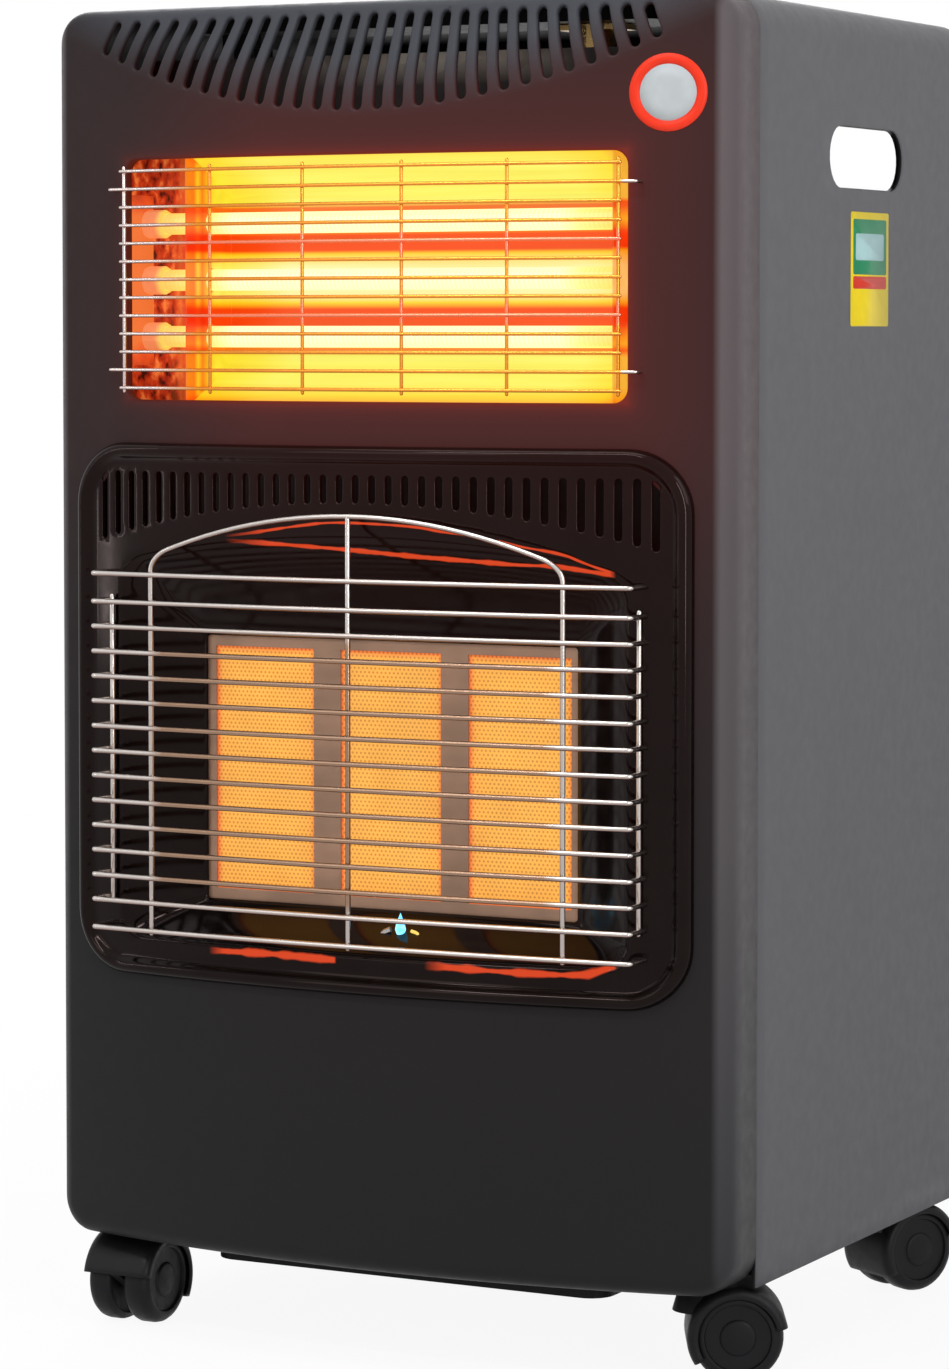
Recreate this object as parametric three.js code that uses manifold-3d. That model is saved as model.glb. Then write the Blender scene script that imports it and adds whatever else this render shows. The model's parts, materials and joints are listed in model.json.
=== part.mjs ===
// A portable gas cabinet heater with an electric quartz section above a three-plaque gas burner.
// Millimetres, +Z up. The drawing plane Y = 0 passes through the two front corners of the cabinet;
// the front faces -Y. The finished group is moved so that its origin is under the middle of it.
import * as THREE from "three";
import { mergeVertices } from "three/addons/utils/BufferGeometryUtils.js";
import Module from "manifold-3d";

const wasm = await Module();
wasm.setup();

// ---------------------------------------------------------------- driving dimensions

const GAP = 0.3; // clearance between pieces that touch or seat
const WELD = 0.3; // how far two wires or plates of one welded piece run into each other
const SHEET = 1.2; // sheet steel of the casing

// cabinet
const WIDTH = 420;
const HEIGHT = 750;
const LOWER_EDGE = 53.5; // floor to the lower edge of the casing
const REAR = 346; // from the drawing plane to the rear edge of the sides
const SEAM = 42; // where the front panel's side flange meets the body shell
const BOW = 23; // how far the face bulges in plan
const BOW_HALF = WIDTH / 2 - 20; // half the chord over which it bulges
const CORNER = 30; // corner radius seen from the front
const EDGE = 10; // radius of the bend between the face and the side flange
const REAR_FLANGE = 12;
const REAR_HEADER = 35; // depth of the flange across the top of the open back

// top louvre: slots that fan out from a centre high above the cabinet
const FAN_CENTRE = 299; // above the top of the cabinet
const FAN_RADIUS = 365; // to the lower ends of the slots
const FAN_SLOTS = 29;
const FAN_PITCH = 2.0; // degrees
const FAN_SLOT_WIDTH = 5.6;
const FAN_TOP = 11; // upper ends of the slots, below the top of the cabinet
const FAN_LEAN = 42; // how far the top of the louvre leans back

// hand slots in the sides
const HAND_LENGTH = 106;
const HAND_HEIGHT = 34;
const HAND_Y = 192;
const HAND_Z = HEIGHT - 84;
const HAND_LIP = 3;

// window of the electric section
const WINDOW_WIDTH = WIDTH - 109;
const WINDOW_HEIGHT = 134;
const WINDOW_CORNER = 8;
const FAN_TO_WINDOW = 19; // from the lowest slot of the louvre to the window
const WINDOW_TOP = HEIGHT + FAN_CENTRE - FAN_RADIUS - FAN_TO_WINDOW;
const WINDOW_Z = WINDOW_TOP - WINDOW_HEIGHT / 2;

// quartz tubes and their reflector
const TUBE_COUNT = 3;
const TUBE_PITCH = 31.8;
const TUBE_RADIUS = 6;
const TUBE_WALL = 1.2;
const TUBE_Y = 24;
const TUBE_HALF = WINDOW_WIDTH / 2 - 3.5;
const CAP_RADIUS = 8;
const CAP_SOCKET = 4; // how deep a cap takes the tube
const CAP_LENGTH = 12;
const REFLECTOR_LEFT = TUBE_HALF - 34; // from the middle to its end walls: the wiring is on the left
const REFLECTOR_RIGHT = TUBE_HALF - 7;
const REFLECTOR_SHEET = 1;
const REFLECTOR_FRONT = -4;
const REFLECTOR_BACK = 46;
const REFLECTOR_MOUTH = 142; // height of its open side
const REFLECTOR_FLOOR = 94; // height of its back wall
const BRACKET_HEIGHT = 96;
const BRACKET_TAB = 20; // width of the tab that is screwed behind the face

// wire guard of the window
const UPPER_ROWS = 13;
const UPPER_PITCH = 10.06;
const UPPER_WIRE = 1; // radius
const UPPER_HALF = WINDOW_WIDTH / 2 + 1.5;
const UPPER_LEG_X = UPPER_HALF + 6;
const UPPER_STAND = 7; // wires in front of the face
const UPPER_BARS = 6;
const UPPER_BAR_HALF = UPPER_HALF - 4;
const UPPER_LEG_ROWS = [1, 11];

// enamelled burner surround
const SURROUND_WIDTH = WIDTH - 37;
const SURROUND_HEIGHT = 300;
const WINDOW_TO_SURROUND = 24;
const SURROUND_TOP = WINDOW_TOP - WINDOW_HEIGHT - WINDOW_TO_SURROUND;
const SURROUND_BOTTOM = SURROUND_TOP - SURROUND_HEIGHT;
const SURROUND_CORNER = 35;
const BEAD_WIDTH = 10;
const BEAD_HEIGHT = 6;
const LAND = 1.5; // the flat of the surround in front of the panel's face
const PANEL_HOLE_INSET = 14; // from the surround's edge to the hole in the panel behind it
const RECESS_HALF = SURROUND_WIDTH / 2 - 31.5;
const RECESS_BOTTOM = SURROUND_BOTTOM + 20;
const RECESS_SIDE_TOP = SURROUND_TOP - 66;
const RECESS_CROWN = 26; // the recess is arched over the burner
const RECESS_CORNER = 14;
const RIB_COUNT = 35;
const RIB_PITCH = 10.1;
const RIB_WIDTH = 3.8;
const RIB_TOP = SURROUND_TOP - 16;
const RIB_FOOT = RIB_TOP - 15; // lower end of the middle rib slot
const RIB_ARC = 644; // radius of the line through the lower ends

// burner
const PLAQUE_COUNT = 3;
const PLAQUE_WIDTH = 67;
const PLAQUE_HEIGHT = 141;
const PLAQUE_DEPTH = 13;
const PLAQUE_PITCH = 80;
const FRAME_WIDTH = 234;
const FRAME_HEIGHT = 151;
const BURNER_Z = RECESS_BOTTOM + 21.5 + FRAME_HEIGHT / 2;
const FRAME_Y = 16; // front of the frame round the plaques
const FRAME_SHEET = 1.5;
const FRAME_DEPTH = 10;
const FRAME_LAP = 2; // how far the frame covers the edge of a plaque
const BOX_WALL = 1.5;
const BOX_DEPTH = 34;
const BOX_CORNER = 3;
const VENTURI_RADIUS = 9;
const VENTURI_LENGTH = 42;
const VENTURI_WALL = 1.5;
const VENTURI_FLARE = 4; // how much wider its mouth is
const VENTURI_MOUTH = 8; // height of the flared mouth
const INJECTOR_RADIUS = 4;
const INJECTOR_RISE = 18;
const INJECTOR_ENTRY = 1.8; // how far an injector stands into the mouth of its mixing tube
const MANIFOLD_Z =
  BURNER_Z - PLAQUE_HEIGHT / 2 - GAP - VENTURI_LENGTH + INJECTOR_ENTRY - INJECTOR_RISE;
const MANIFOLD_Y = 38;
const MANIFOLD_RADIUS = 6;
const MANIFOLD_HALF = 100;
const LUG_WIDTH = 18; // of the two lugs by which it is fixed to the shield
const LUG_THICKNESS = 3;

// heat shield between the burner and the bottle space
const SHIELD_Y = 56;
const SHIELD_TOP = HEIGHT - 26;
const SHIELD_FLANGE = 12;

// wire guard of the burner
const LOWER_ROWS = 15;
const LOWER_BOTTOM = RECESS_BOTTOM + 8;
const LOWER_TOP = LOWER_BOTTOM + 199;
const LOWER_END_PITCH = 15.7; // between the outermost two wires at each end
const LOWER_WIRE = 1.5; // radius
const LOWER_LEG_X = RECESS_HALF + 6.5;
const LOWER_STAND = -27; // its ends, in the drawing plane's frame
const LOWER_BULGE = 8; // how much further its middle stands out
const LOWER_LEG_ROWS = [0, 7, 14];
const ARCH_HALF = 127.7;
const ARCH_SHOULDER = LOWER_TOP + 10;
const ARCH_TOP = ARCH_SHOULDER + 25;
const LEG_BEND = 4;

// pilot light, beside the middle of the recess
const PILOT_X = 16;
const PILOT_Y = -2;
const PILOT_PLATE_Z = RECESS_BOTTOM - 5;
const PILOT_TIP = PILOT_PLATE_Z + 15;
const PILOT_SPACING = 11; // between the pilot, the spark electrode and the thermocouple
const PILOT_SHEET = 1.5; // of its bent plate
const PILOT_FEED_DROP = 16; // how far its gas pipe hangs below the manifold

// base tray with a dropped well
const TRAY_Z = LOWER_EDGE + 6; // underside of its margin, on which the castors are fixed
const TRAY_FRONT = 30;
const TRAY_FRONT_HALF = WIDTH / 2 - 15; // its half width inside the front panel
const TRAY_REAR = REAR - 3;
const TRAY_FLANGE = 20;
const CASTOR_X = WIDTH / 2 - 37;
const WELL_HALF = CASTOR_X - 49; // clear of the castors, which turn right round
const WELL_FLOOR = TRAY_Z - 19; // underside
const WELL_REAR = TRAY_REAR - 15;
const WELL_CORNER = 14;
const TRAY_LIP = 4.5; // the ledge behind, on which the rear cover stands

// rear cover
const COVER_TOP = HEIGHT - 150;
const COVER_HALF = WIDTH / 2 - 7;
const COVER_RIM = 8;
const COVER_SLOTS = 8;
const COVER_SLOT_PITCH = 14;
const COVER_SLOT_LENGTH = 190;
const COVER_SLOT_HEIGHT = 5;
const COVER_SLOT_Z = COVER_TOP - 160; // the highest slot
const COVER_GRIP_WIDTH = 96;
const COVER_GRIP_HEIGHT = 28;
const COVER_GRIP_Z = COVER_TOP - 32;

// controls on the top
const CONSOLE_WIDTH = WIDTH - 120;
const CONSOLE_DEPTH = 72;
const CONSOLE_Y = 80;
const CONSOLE_CORNER = 12;
const CONSOLE_RIM = 5; // how far its rim covers the edge of the hole
const CONSOLE_RIM_THICKNESS = 1.5;
const CONSOLE_SINK = 10; // floor of the recess, below the top
const CONSOLE_WALL = 2;
const KNOB_X = CONSOLE_WIDTH / 2 - 55;
const KNOB_RADIUS = 19;
const KNOB_RISE = 4; // top of the knob, above the top of the cabinet
const KNOB_HEIGHT = 10;
const KNOB_FLANGE = 2.5; // thickness of its rim
const KNOB_STEP = 3; // from the rim to its raised middle, and from that to the top of the bar
const KNOB_GRIP = 7; // width of the bar across it
const KNOB_TRAVEL = 3;
const SPINDLE_RADIUS = 3;
const SPINDLE_COLLAR = 1.5; // how far its collar stands out, inside the valve
const SPINDLE_FOOT = 14; // lower end of the spindle, below the top of the valve
const COLLAR_HEIGHT = 4;
const VALVE_RADIUS = 13;
const VALVE_HEIGHT = 36;
const YOKE_HALF = 20;
const YOKE_HALF_DEPTH = 9;
const YOKE_HEIGHT = 3;
const OUTLET_LENGTH = 9;
const OUTLET_RADIUS = 6.5;
const INLET_RISE = 10; // the gas inlet above the foot of the valve
const INLET_NUT = 12; // length of its nut
const INLET_NUT_RADIUS = 8;
const HOSE_TAIL_LENGTH = 30;
const HOSE_TAIL_RADIUS = 4.6;
const HOSE_TAIL_RIDGES = 3;
const HOSE_TAIL_BITE = 1; // depth of its ridges
const GAS_WAY_RADIUS = 2.4;
const ROCKER_PITCH = 13;
const ROCKER_LEFT = -CONSOLE_WIDTH / 2 + 20;
const ROCKER_X = [ROCKER_LEFT, ROCKER_LEFT + ROCKER_PITCH];
const ROCKER_WIDTH = 8.5;
const ROCKER_HALF = 10;
const ROCKER_TILT = 12; // degrees to either side
const ROCKER_PIVOT = 2.4; // below the top of the cabinet
const ROCKER_KEEL = 5; // the rocker's keel below its pivot
const ROCKER_HORN = 7; // its two ends above its pivot
const ROCKER_WAIST = 4; // the middle of its dished top above its pivot
const SWITCH_HALF = 13.5;
const SWITCH_WALL = 1.6;
const SWITCH_BEZEL = 2.5; // top of the switch body above the pivot
const SWITCH_BASE = 12; // solid depth of the switch body below the rockers
const TERMINAL_LENGTH = 8;
const TERMINAL_WIDTH = 4.8;
const TERMINAL_THICKNESS = 0.8;
const PIPE_RADIUS = 3;
const PIPE_X = 112;
const PIPE_Y = 68;
const PIPE_BEND = 10;
const GLAND_X = 60 - WIDTH / 2;
const GLAND_RADIUS = 7;
const GLAND_REACH = 8;
const GLAND_BORE = 3.5;

// twin-wheel castors
const WHEEL_RADIUS = 25;
const WHEEL_WIDTH = 14;
const WHEEL_CENTRE = 11.5; // from the middle of the castor
const WHEEL_SIDES = 16;
const AXLE_RADIUS = 3;
const TRAIL = 20; // from the swivel axis to the axle
const HOOD_GAP = 1; // between the tyre and the hood
const HOOD_WALL = 1.8;
const HOOD_WEB = 6;
const PLATE_SIDE = 36;
const PLATE_THICKNESS = 2;
const STEM_RADIUS = 4;
const STEM_BOSS = 9;
const STEM_FOOT = WHEEL_RADIUS + 9; // lower end of the swivel pin, above the floor
const HOOD_FROM = 20; // degrees round the axle at which the hood starts and ends
const HOOD_TO = 212;
const CASTOR_FRONT_Y = SEAM + 8;
const CASTOR_REAR_Y = REAR - 46;
const CASTOR_TURN = 27; // degrees by which two of them have swung outwards
const CASTORS = [
  { name: "front_left", side: -1, y: CASTOR_FRONT_Y, heading: -90 },
  { name: "front_right", side: 1, y: CASTOR_FRONT_Y, heading: CASTOR_TURN },
  { name: "rear_left", side: -1, y: CASTOR_REAR_Y, heading: 180 - CASTOR_TURN },
  { name: "rear_right", side: 1, y: CASTOR_REAR_Y, heading: 60 },
];

// ---------------------------------------------------------------- finishes

const finish = (color, roughness, metalness) =>
  new THREE.MeshStandardMaterial({ color, roughness, metalness });

const FINISH = {
  charcoal: finish(0x2f3033, 0.5, 0.3),
  shell: finish(0x5c5d60, 0.5, 0.3),
  enamel: finish(0x0c0b0b, 0.12, 0.1),
  blackSteel: finish(0x17181a, 0.6, 0.2),
  chrome: finish(0xd8d8d8, 0.18, 1),
  polished: finish(0xf0e6d2, 0.12, 1),
  bright: finish(0xb9b4a8, 0.35, 0.9),
  plaque: finish(0xffb347, 0.9, 0),
  quartz: finish(0xffd27a, 0.1, 0),
  ceramic: finish(0xeae4d6, 0.7, 0),
  brass: finish(0xb08d45, 0.35, 0.9),
  aluminium: finish(0xb8babc, 0.4, 0.9),
  blackPlastic: finish(0x161616, 0.45, 0),
  redPlastic: finish(0xb3201b, 0.4, 0),
  tyre: finish(0x111111, 0.8, 0),
};

// ---------------------------------------------------------------- making and joining solids

function solid(geometry) {
  const bare = geometry.clone();
  bare.deleteAttribute("normal");
  bare.deleteAttribute("uv");
  const merged = mergeVertices(bare, 1e-4);
  return new wasm.Manifold(
    new wasm.Mesh({
      numProp: 3,
      vertProperties: merged.attributes.position.array,
      triVerts: new Uint32Array(merged.index.array),
    }),
  );
}

function geometryOf(body) {
  const mesh = body.getMesh();
  const geometry = new THREE.BufferGeometry()
    .setAttribute("position", new THREE.BufferAttribute(mesh.vertProperties, 3))
    .setIndex(new THREE.BufferAttribute(mesh.triVerts, 1));
  geometry.computeVertexNormals();
  return geometry;
}

const join = (bodies) => bodies.reduce((whole, body) => whole.add(body));
const cut = (body, tools) => tools.reduce((rest, tool) => rest.subtract(tool), body);

function box(x0, x1, y0, y1, z0, z1) {
  const geometry = new THREE.BoxGeometry(x1 - x0, y1 - y0, z1 - z0);
  geometry.translate((x0 + x1) / 2, (y0 + y1) / 2, (z0 + z1) / 2);
  return solid(geometry);
}

const extrude = (shape, depth, curveSegments = 4) =>
  new THREE.ExtrudeGeometry(shape, { depth, bevelEnabled: false, curveSegments });

// A shape drawn in the front view (X, Z), given thickness from y0 back to y1.
function frontPlate(shape, y0, y1, curveSegments) {
  const geometry = extrude(shape, y1 - y0, curveSegments);
  geometry.rotateX(Math.PI / 2);
  geometry.translate(0, y1, 0);
  return solid(geometry);
}

// A shape drawn in plan (X, Y), raised from z0 to z1.
function planPlate(shape, z0, z1, curveSegments) {
  const geometry = extrude(shape, z1 - z0, curveSegments);
  geometry.translate(0, 0, z0);
  return solid(geometry);
}

// A shape drawn in the side view (Y, Z), given width from x0 to x1.
function sidePlate(shape, x0, x1, curveSegments) {
  const geometry = extrude(shape, x1 - x0, curveSegments);
  geometry.applyMatrix4(
    new THREE.Matrix4().makeBasis(
      new THREE.Vector3(0, 1, 0),
      new THREE.Vector3(0, 0, 1),
      new THREE.Vector3(1, 0, 0),
    ),
  );
  geometry.translate(x0, 0, 0);
  return solid(geometry);
}

function roundedRect(u0, u1, v0, v1, radius) {
  const shape = new THREE.Shape();
  shape.moveTo(u0 + radius, v0);
  shape.absarc(u1 - radius, v0 + radius, radius, -Math.PI / 2, 0);
  shape.absarc(u1 - radius, v1 - radius, radius, 0, Math.PI / 2);
  shape.absarc(u0 + radius, v1 - radius, radius, Math.PI / 2, Math.PI);
  shape.absarc(u0 + radius, v0 + radius, radius, Math.PI, Math.PI * 1.5);
  return shape;
}

const polygon = (points) => new THREE.Shape(points.map(([u, v]) => new THREE.Vector2(u, v)));

// A regular section for wires and pipes, with the area of the round one that it stands for.
function section(radius, sides) {
  const reach = radius * Math.sqrt((2 * Math.PI) / (sides * Math.sin((2 * Math.PI) / sides)));
  const corner = (i) => ((i + 0.5) / sides) * Math.PI * 2;
  const points = Array.from({ length: sides }, (_, i) => [
    reach * Math.cos(corner(i)),
    reach * Math.sin(corner(i)),
  ]);
  return polygon(points);
}

// A cylinder on the line x, y from z0 up to z1.
function post(x, y, z0, z1, radius, sides = 12, topRadius = radius) {
  const geometry = new THREE.CylinderGeometry(topRadius, radius, z1 - z0, sides);
  geometry.rotateX(Math.PI / 2);
  geometry.translate(x, y, (z0 + z1) / 2);
  return solid(geometry);
}

// A cylinder along X from x0 to x1.
function barAlongX(x0, x1, y, z, radius, sides = 12) {
  const geometry = new THREE.CylinderGeometry(radius, radius, x1 - x0, sides);
  geometry.rotateZ(-Math.PI / 2);
  geometry.translate((x0 + x1) / 2, y, z);
  return solid(geometry);
}

// A cylinder along Y from y0 to y1.
function barAlongY(x, y0, y1, z, radius, sides = 12) {
  const geometry = new THREE.CylinderGeometry(radius, radius, y1 - y0, sides);
  geometry.translate(x, (y0 + y1) / 2, z);
  return solid(geometry);
}

// A path that has a section exactly at each of its points.
class Route extends THREE.Curve {
  constructor(points) {
    super();
    this.points = points;
  }
  getPoint(t, target = new THREE.Vector3()) {
    const place = t * (this.points.length - 1);
    const i = Math.min(Math.floor(place), this.points.length - 2);
    return target.lerpVectors(this.points[i], this.points[i + 1], place - i);
  }
  getPointAt(u, target) {
    return this.getPoint(u, target);
  }
  getTangentAt(u, target = new THREE.Vector3()) {
    const last = this.points.length - 1;
    const i = Math.round(u * last);
    const before = this.points[Math.max(i - 1, 0)];
    const here = this.points[i];
    const after = this.points[Math.min(i + 1, last)];
    const arriving = new THREE.Vector3().subVectors(here, before).normalize();
    const leaving = new THREE.Vector3().subVectors(after, here).normalize();
    return target.addVectors(arriving, leaving).normalize();
  }
}

// A round rod along the points, each [x, y, z].
function rod(points, radius, sides) {
  const path = points.map((p) => new THREE.Vector3(...p));
  const geometry = new THREE.ExtrudeGeometry(section(radius, sides), {
    steps: path.length - 1,
    extrudePath: new Route(path),
  });
  return solid(geometry);
}

// The same points with each inner corner rounded off.
function bent(points, radius, pieces = 2) {
  const corners = points.map((p) => new THREE.Vector3(...p));
  const out = [points[0]];
  for (let i = 1; i < corners.length - 1; i++) {
    const back = new THREE.Vector3().subVectors(corners[i - 1], corners[i]).setLength(radius);
    const ahead = new THREE.Vector3().subVectors(corners[i + 1], corners[i]).setLength(radius);
    const curve = new THREE.QuadraticBezierCurve3(
      back.add(corners[i]),
      corners[i],
      ahead.add(corners[i]),
    );
    curve.getPoints(pieces).forEach((p) => out.push(p.toArray()));
  }
  out.push(points.at(-1));
  return out;
}

// A solid whose surface runs through closed rings of [x, y, z], and closes on the first one.
function ringSolid(rings) {
  const count = rings[0].length;
  const position = rings.flat(2);
  const index = [];
  rings.forEach((ring, r) => {
    const next = (r + 1) % rings.length;
    for (let i = 0; i < count; i++) {
      const j = (i + 1) % count;
      const [a, b, c, d] = [r * count + i, r * count + j, next * count + j, next * count + i];
      index.push(a, b, c, a, c, d);
    }
  });
  return solidOfFaces(position, index);
}

function solidOfFaces(position, index) {
  const geometry = new THREE.BufferGeometry()
    .setAttribute("position", new THREE.BufferAttribute(new Float32Array(position), 3))
    .setIndex(index);
  return solid(geometry);
}

const group = new THREE.Group();

function addPart(name, shape, material, parent = group) {
  const geometry = shape.isBufferGeometry ? shape : geometryOf(shape);
  const mesh = new THREE.Mesh(geometry, material);
  mesh.name = name;
  parent.add(mesh);
  return mesh;
}

// ---------------------------------------------------------------- shared curves

const BOW_RADIUS = (BOW_HALF ** 2 + BOW ** 2) / (2 * BOW);

// Y of the bowed face at x.
const face = (x) => BOW_RADIUS - BOW - Math.sqrt(BOW_RADIUS ** 2 - x ** 2);

// How far the louvre leans back behind the bowed face: a curve that starts under the slots.
const dishEdge = FAN_RADIUS + FAN_SLOT_WIDTH;
const dishReach = dishEdge - FAN_CENTRE;
const dishRadius = (dishReach ** 2 + FAN_LEAN ** 2) / (2 * FAN_LEAN);
function louvreDish(x, z) {
  const inside = Math.max(dishEdge - Math.hypot(x, HEIGHT + FAN_CENTRE - z), 0);
  return dishRadius - Math.sqrt(dishRadius ** 2 - inside ** 2);
}

// Columns of a rounded outline in the front view, left to right, each with its lowest and highest
// point. The upper edge may be arched by a crown.
function columns({ half, bottom, top, radius, crown = 0, across = 10, round = 3 }) {
  const straight = half - radius;
  const list = [];
  const add = (x, drop) => {
    const arch = crown * (1 - (x / half) ** 2);
    list.push({ x, low: bottom + drop, high: top - drop + arch });
  };
  const corner = (side, i) => {
    const angle = (i / round) * (Math.PI / 2);
    add(side * (straight + radius * Math.cos(angle)), radius * (1 - Math.sin(angle)));
  };
  for (let i = 0; i <= round; i++) corner(-1, i);
  for (let i = 1; i < across; i++) add(-straight + (2 * straight * i) / across, 0);
  for (let i = round; i >= 0; i--) corner(1, i);
  return list;
}

// The outline's points, once round.
const loop = (cols, depth) => [
  ...cols.map(({ x, high }) => [x, depth(x, high), high]),
  ...cols.toReversed().map(({ x, low }) => [x, depth(x, low), low]),
];

// ---------------------------------------------------------------- front panel

// The space inside the pressed front at a distance `inset` behind its outer surface, as a solid
// that is flat behind at `rear`.
function panelSpace(inset, rear) {
  const across = 10;
  const rows = 2;
  const bends = 3;
  const edge = EDGE - inset;
  const outline = (shrink) =>
    columns({
      half: WIDTH / 2 - inset - shrink,
      bottom: LOWER_EDGE + inset + shrink,
      top: HEIGHT - inset - shrink,
      radius: CORNER - inset - shrink,
      across,
      round: 3,
    });
  const depth = (x, z) => face(x) + louvreDish(x, z) + inset;
  const rings = [loop(outline(0), () => rear)];
  for (let i = 0; i <= bends; i++) {
    const angle = (i / bends) * (Math.PI / 2);
    const behind = edge * (1 - Math.sin(angle));
    rings.push(loop(outline(edge * (1 - Math.cos(angle))), (x, z) => depth(x, z) + behind));
  }
  const position = rings.flat(2);
  const index = [];
  const quad = (a, b, c, d) => index.push(a, b, c, a, c, d);
  const count = rings[0].length;
  for (let r = 0; r + 1 < rings.length; r++)
    for (let i = 0; i < count; i++) {
      const j = (i + 1) % count;
      quad(r * count + i, (r + 1) * count + i, (r + 1) * count + j, r * count + j);
    }

  // The face, whose inner columns have rows that crowd together under the louvre.
  const inner = outline(edge);
  const last = inner.length - 1;
  const frontRing = (rings.length - 1) * count;
  const grid = inner.map(({ x, high }, i) => {
    const dishFoot = HEIGHT + FAN_CENTRE - Math.sqrt(dishEdge ** 2 - x ** 2);
    const boundary = Math.min(dishFoot, high - EDGE);
    const column = [frontRing + count - 1 - i];
    for (let k = 0; k < rows && i > 0 && i < last; k++) {
      const z = boundary + ((high - boundary) * k) / rows;
      column.push(position.length / 3);
      position.push(x, depth(x, z), z);
    }
    column.push(frontRing + i);
    return column;
  });
  for (let i = 1; i + 1 < last; i++)
    for (let k = 0; k <= rows; k++)
      quad(grid[i][k], grid[i + 1][k], grid[i + 1][k + 1], grid[i][k + 1]);
  // the outermost columns have no rows, so their strips are fans
  const [left, right] = [grid[0], grid[last]];
  for (let k = 0; k <= rows; k++) {
    index.push(left[0], grid[1][k], grid[1][k + 1]);
    index.push(grid[last - 1][k], right[0], grid[last - 1][k + 1]);
  }
  index.push(left[0], grid[1][rows + 1], left[1]);
  index.push(right[0], right[1], grid[last - 1][rows + 1]);

  // the flat rear
  for (let i = 0; i < last; i++) quad(count - 1 - i, i, i + 1, count - 2 - i);
  return solidOfFaces(position, index);
}

function fanSlots() {
  const top = FAN_CENTRE + FAN_TOP;
  const tools = [];
  for (let i = 0; i < FAN_SLOTS; i++) {
    const angle = THREE.MathUtils.degToRad((i - (FAN_SLOTS - 1) / 2) * FAN_PITCH);
    const half = FAN_SLOT_WIDTH / 2;
    const [foot, head] = [-FAN_RADIUS, -top / Math.cos(angle)];
    const slot = polygon([
      [-half, foot],
      [half, foot],
      [half, head],
      [-half, head],
    ]);
    const geometry = extrude(slot, REFLECTOR_BACK + 2 * BOW);
    geometry.rotateX(Math.PI / 2);
    geometry.rotateY(-angle);
    geometry.translate(0, REFLECTOR_BACK, HEIGHT + FAN_CENTRE);
    tools.push(solid(geometry));
  }
  return tools;
}

const upperRow = (i) => WINDOW_Z + (i - (UPPER_ROWS - 1) / 2) * UPPER_PITCH;

function frontPanel() {
  const shell = panelSpace(0, SEAM).subtract(panelSpace(SHEET, SEAM + SHEET));
  const windowHole = roundedRect(
    -WINDOW_WIDTH / 2,
    WINDOW_WIDTH / 2,
    WINDOW_Z - WINDOW_HEIGHT / 2,
    WINDOW_Z + WINDOW_HEIGHT / 2,
    WINDOW_CORNER,
  );
  const burnerHole = roundedRect(
    -SURROUND_WIDTH / 2 + PANEL_HOLE_INSET,
    SURROUND_WIDTH / 2 - PANEL_HOLE_INSET,
    SURROUND_BOTTOM + PANEL_HOLE_INSET,
    SURROUND_TOP - PANEL_HOLE_INSET,
    SURROUND_CORNER - PANEL_HOLE_INSET,
  );
  const legHoles = UPPER_LEG_ROWS.flatMap((row) =>
    [-1, 1].map((side) =>
      barAlongY(side * UPPER_LEG_X, -BOW, SEAM, upperRow(row), UPPER_WIRE + GAP * 2, 8),
    ),
  );
  // the lower flange is cut away behind for the front of the tray and the castors under it
  const notch = box(
    -TRAY_FRONT_HALF - SHEET,
    TRAY_FRONT_HALF + SHEET,
    TRAY_FRONT - 2 * SHEET,
    SEAM + SHEET,
    LOWER_EDGE - SHEET,
    TRAY_Z + 2 * SHEET,
  );
  return cut(shell, [
    frontPlate(windowHole, -BOW - SHEET, SEAM - SHEET),
    frontPlate(burnerHole, -BOW - SHEET, SEAM - SHEET),
    join(fanSlots()),
    ...legHoles,
    notch,
  ]);
}

// ---------------------------------------------------------------- body shell

const topHoleHalf = [CONSOLE_WIDTH / 2 - CONSOLE_RIM, CONSOLE_DEPTH / 2 - CONSOLE_RIM];

// The inverted U of the sides and the top: half width, height and corner radius shrink by inset.
function hoop(inset) {
  const half = WIDTH / 2 - inset;
  const radius = CORNER - inset;
  const shape = new THREE.Shape();
  shape.moveTo(-half, LOWER_EDGE);
  shape.lineTo(half, LOWER_EDGE);
  shape.absarc(half - radius, HEIGHT - inset - radius, radius, 0, Math.PI / 2);
  shape.absarc(-half + radius, HEIGHT - inset - radius, radius, Math.PI / 2, Math.PI);
  return shape;
}

function handSlot(grow) {
  const shape = roundedRect(
    HAND_Y - HAND_LENGTH / 2 - grow,
    HAND_Y + HAND_LENGTH / 2 + grow,
    HAND_Z - HAND_HEIGHT / 2 - grow,
    HAND_Z + HAND_HEIGHT / 2 + grow,
    (HAND_HEIGHT / 2 + grow) * 0.999,
  );
  return shape;
}

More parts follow.
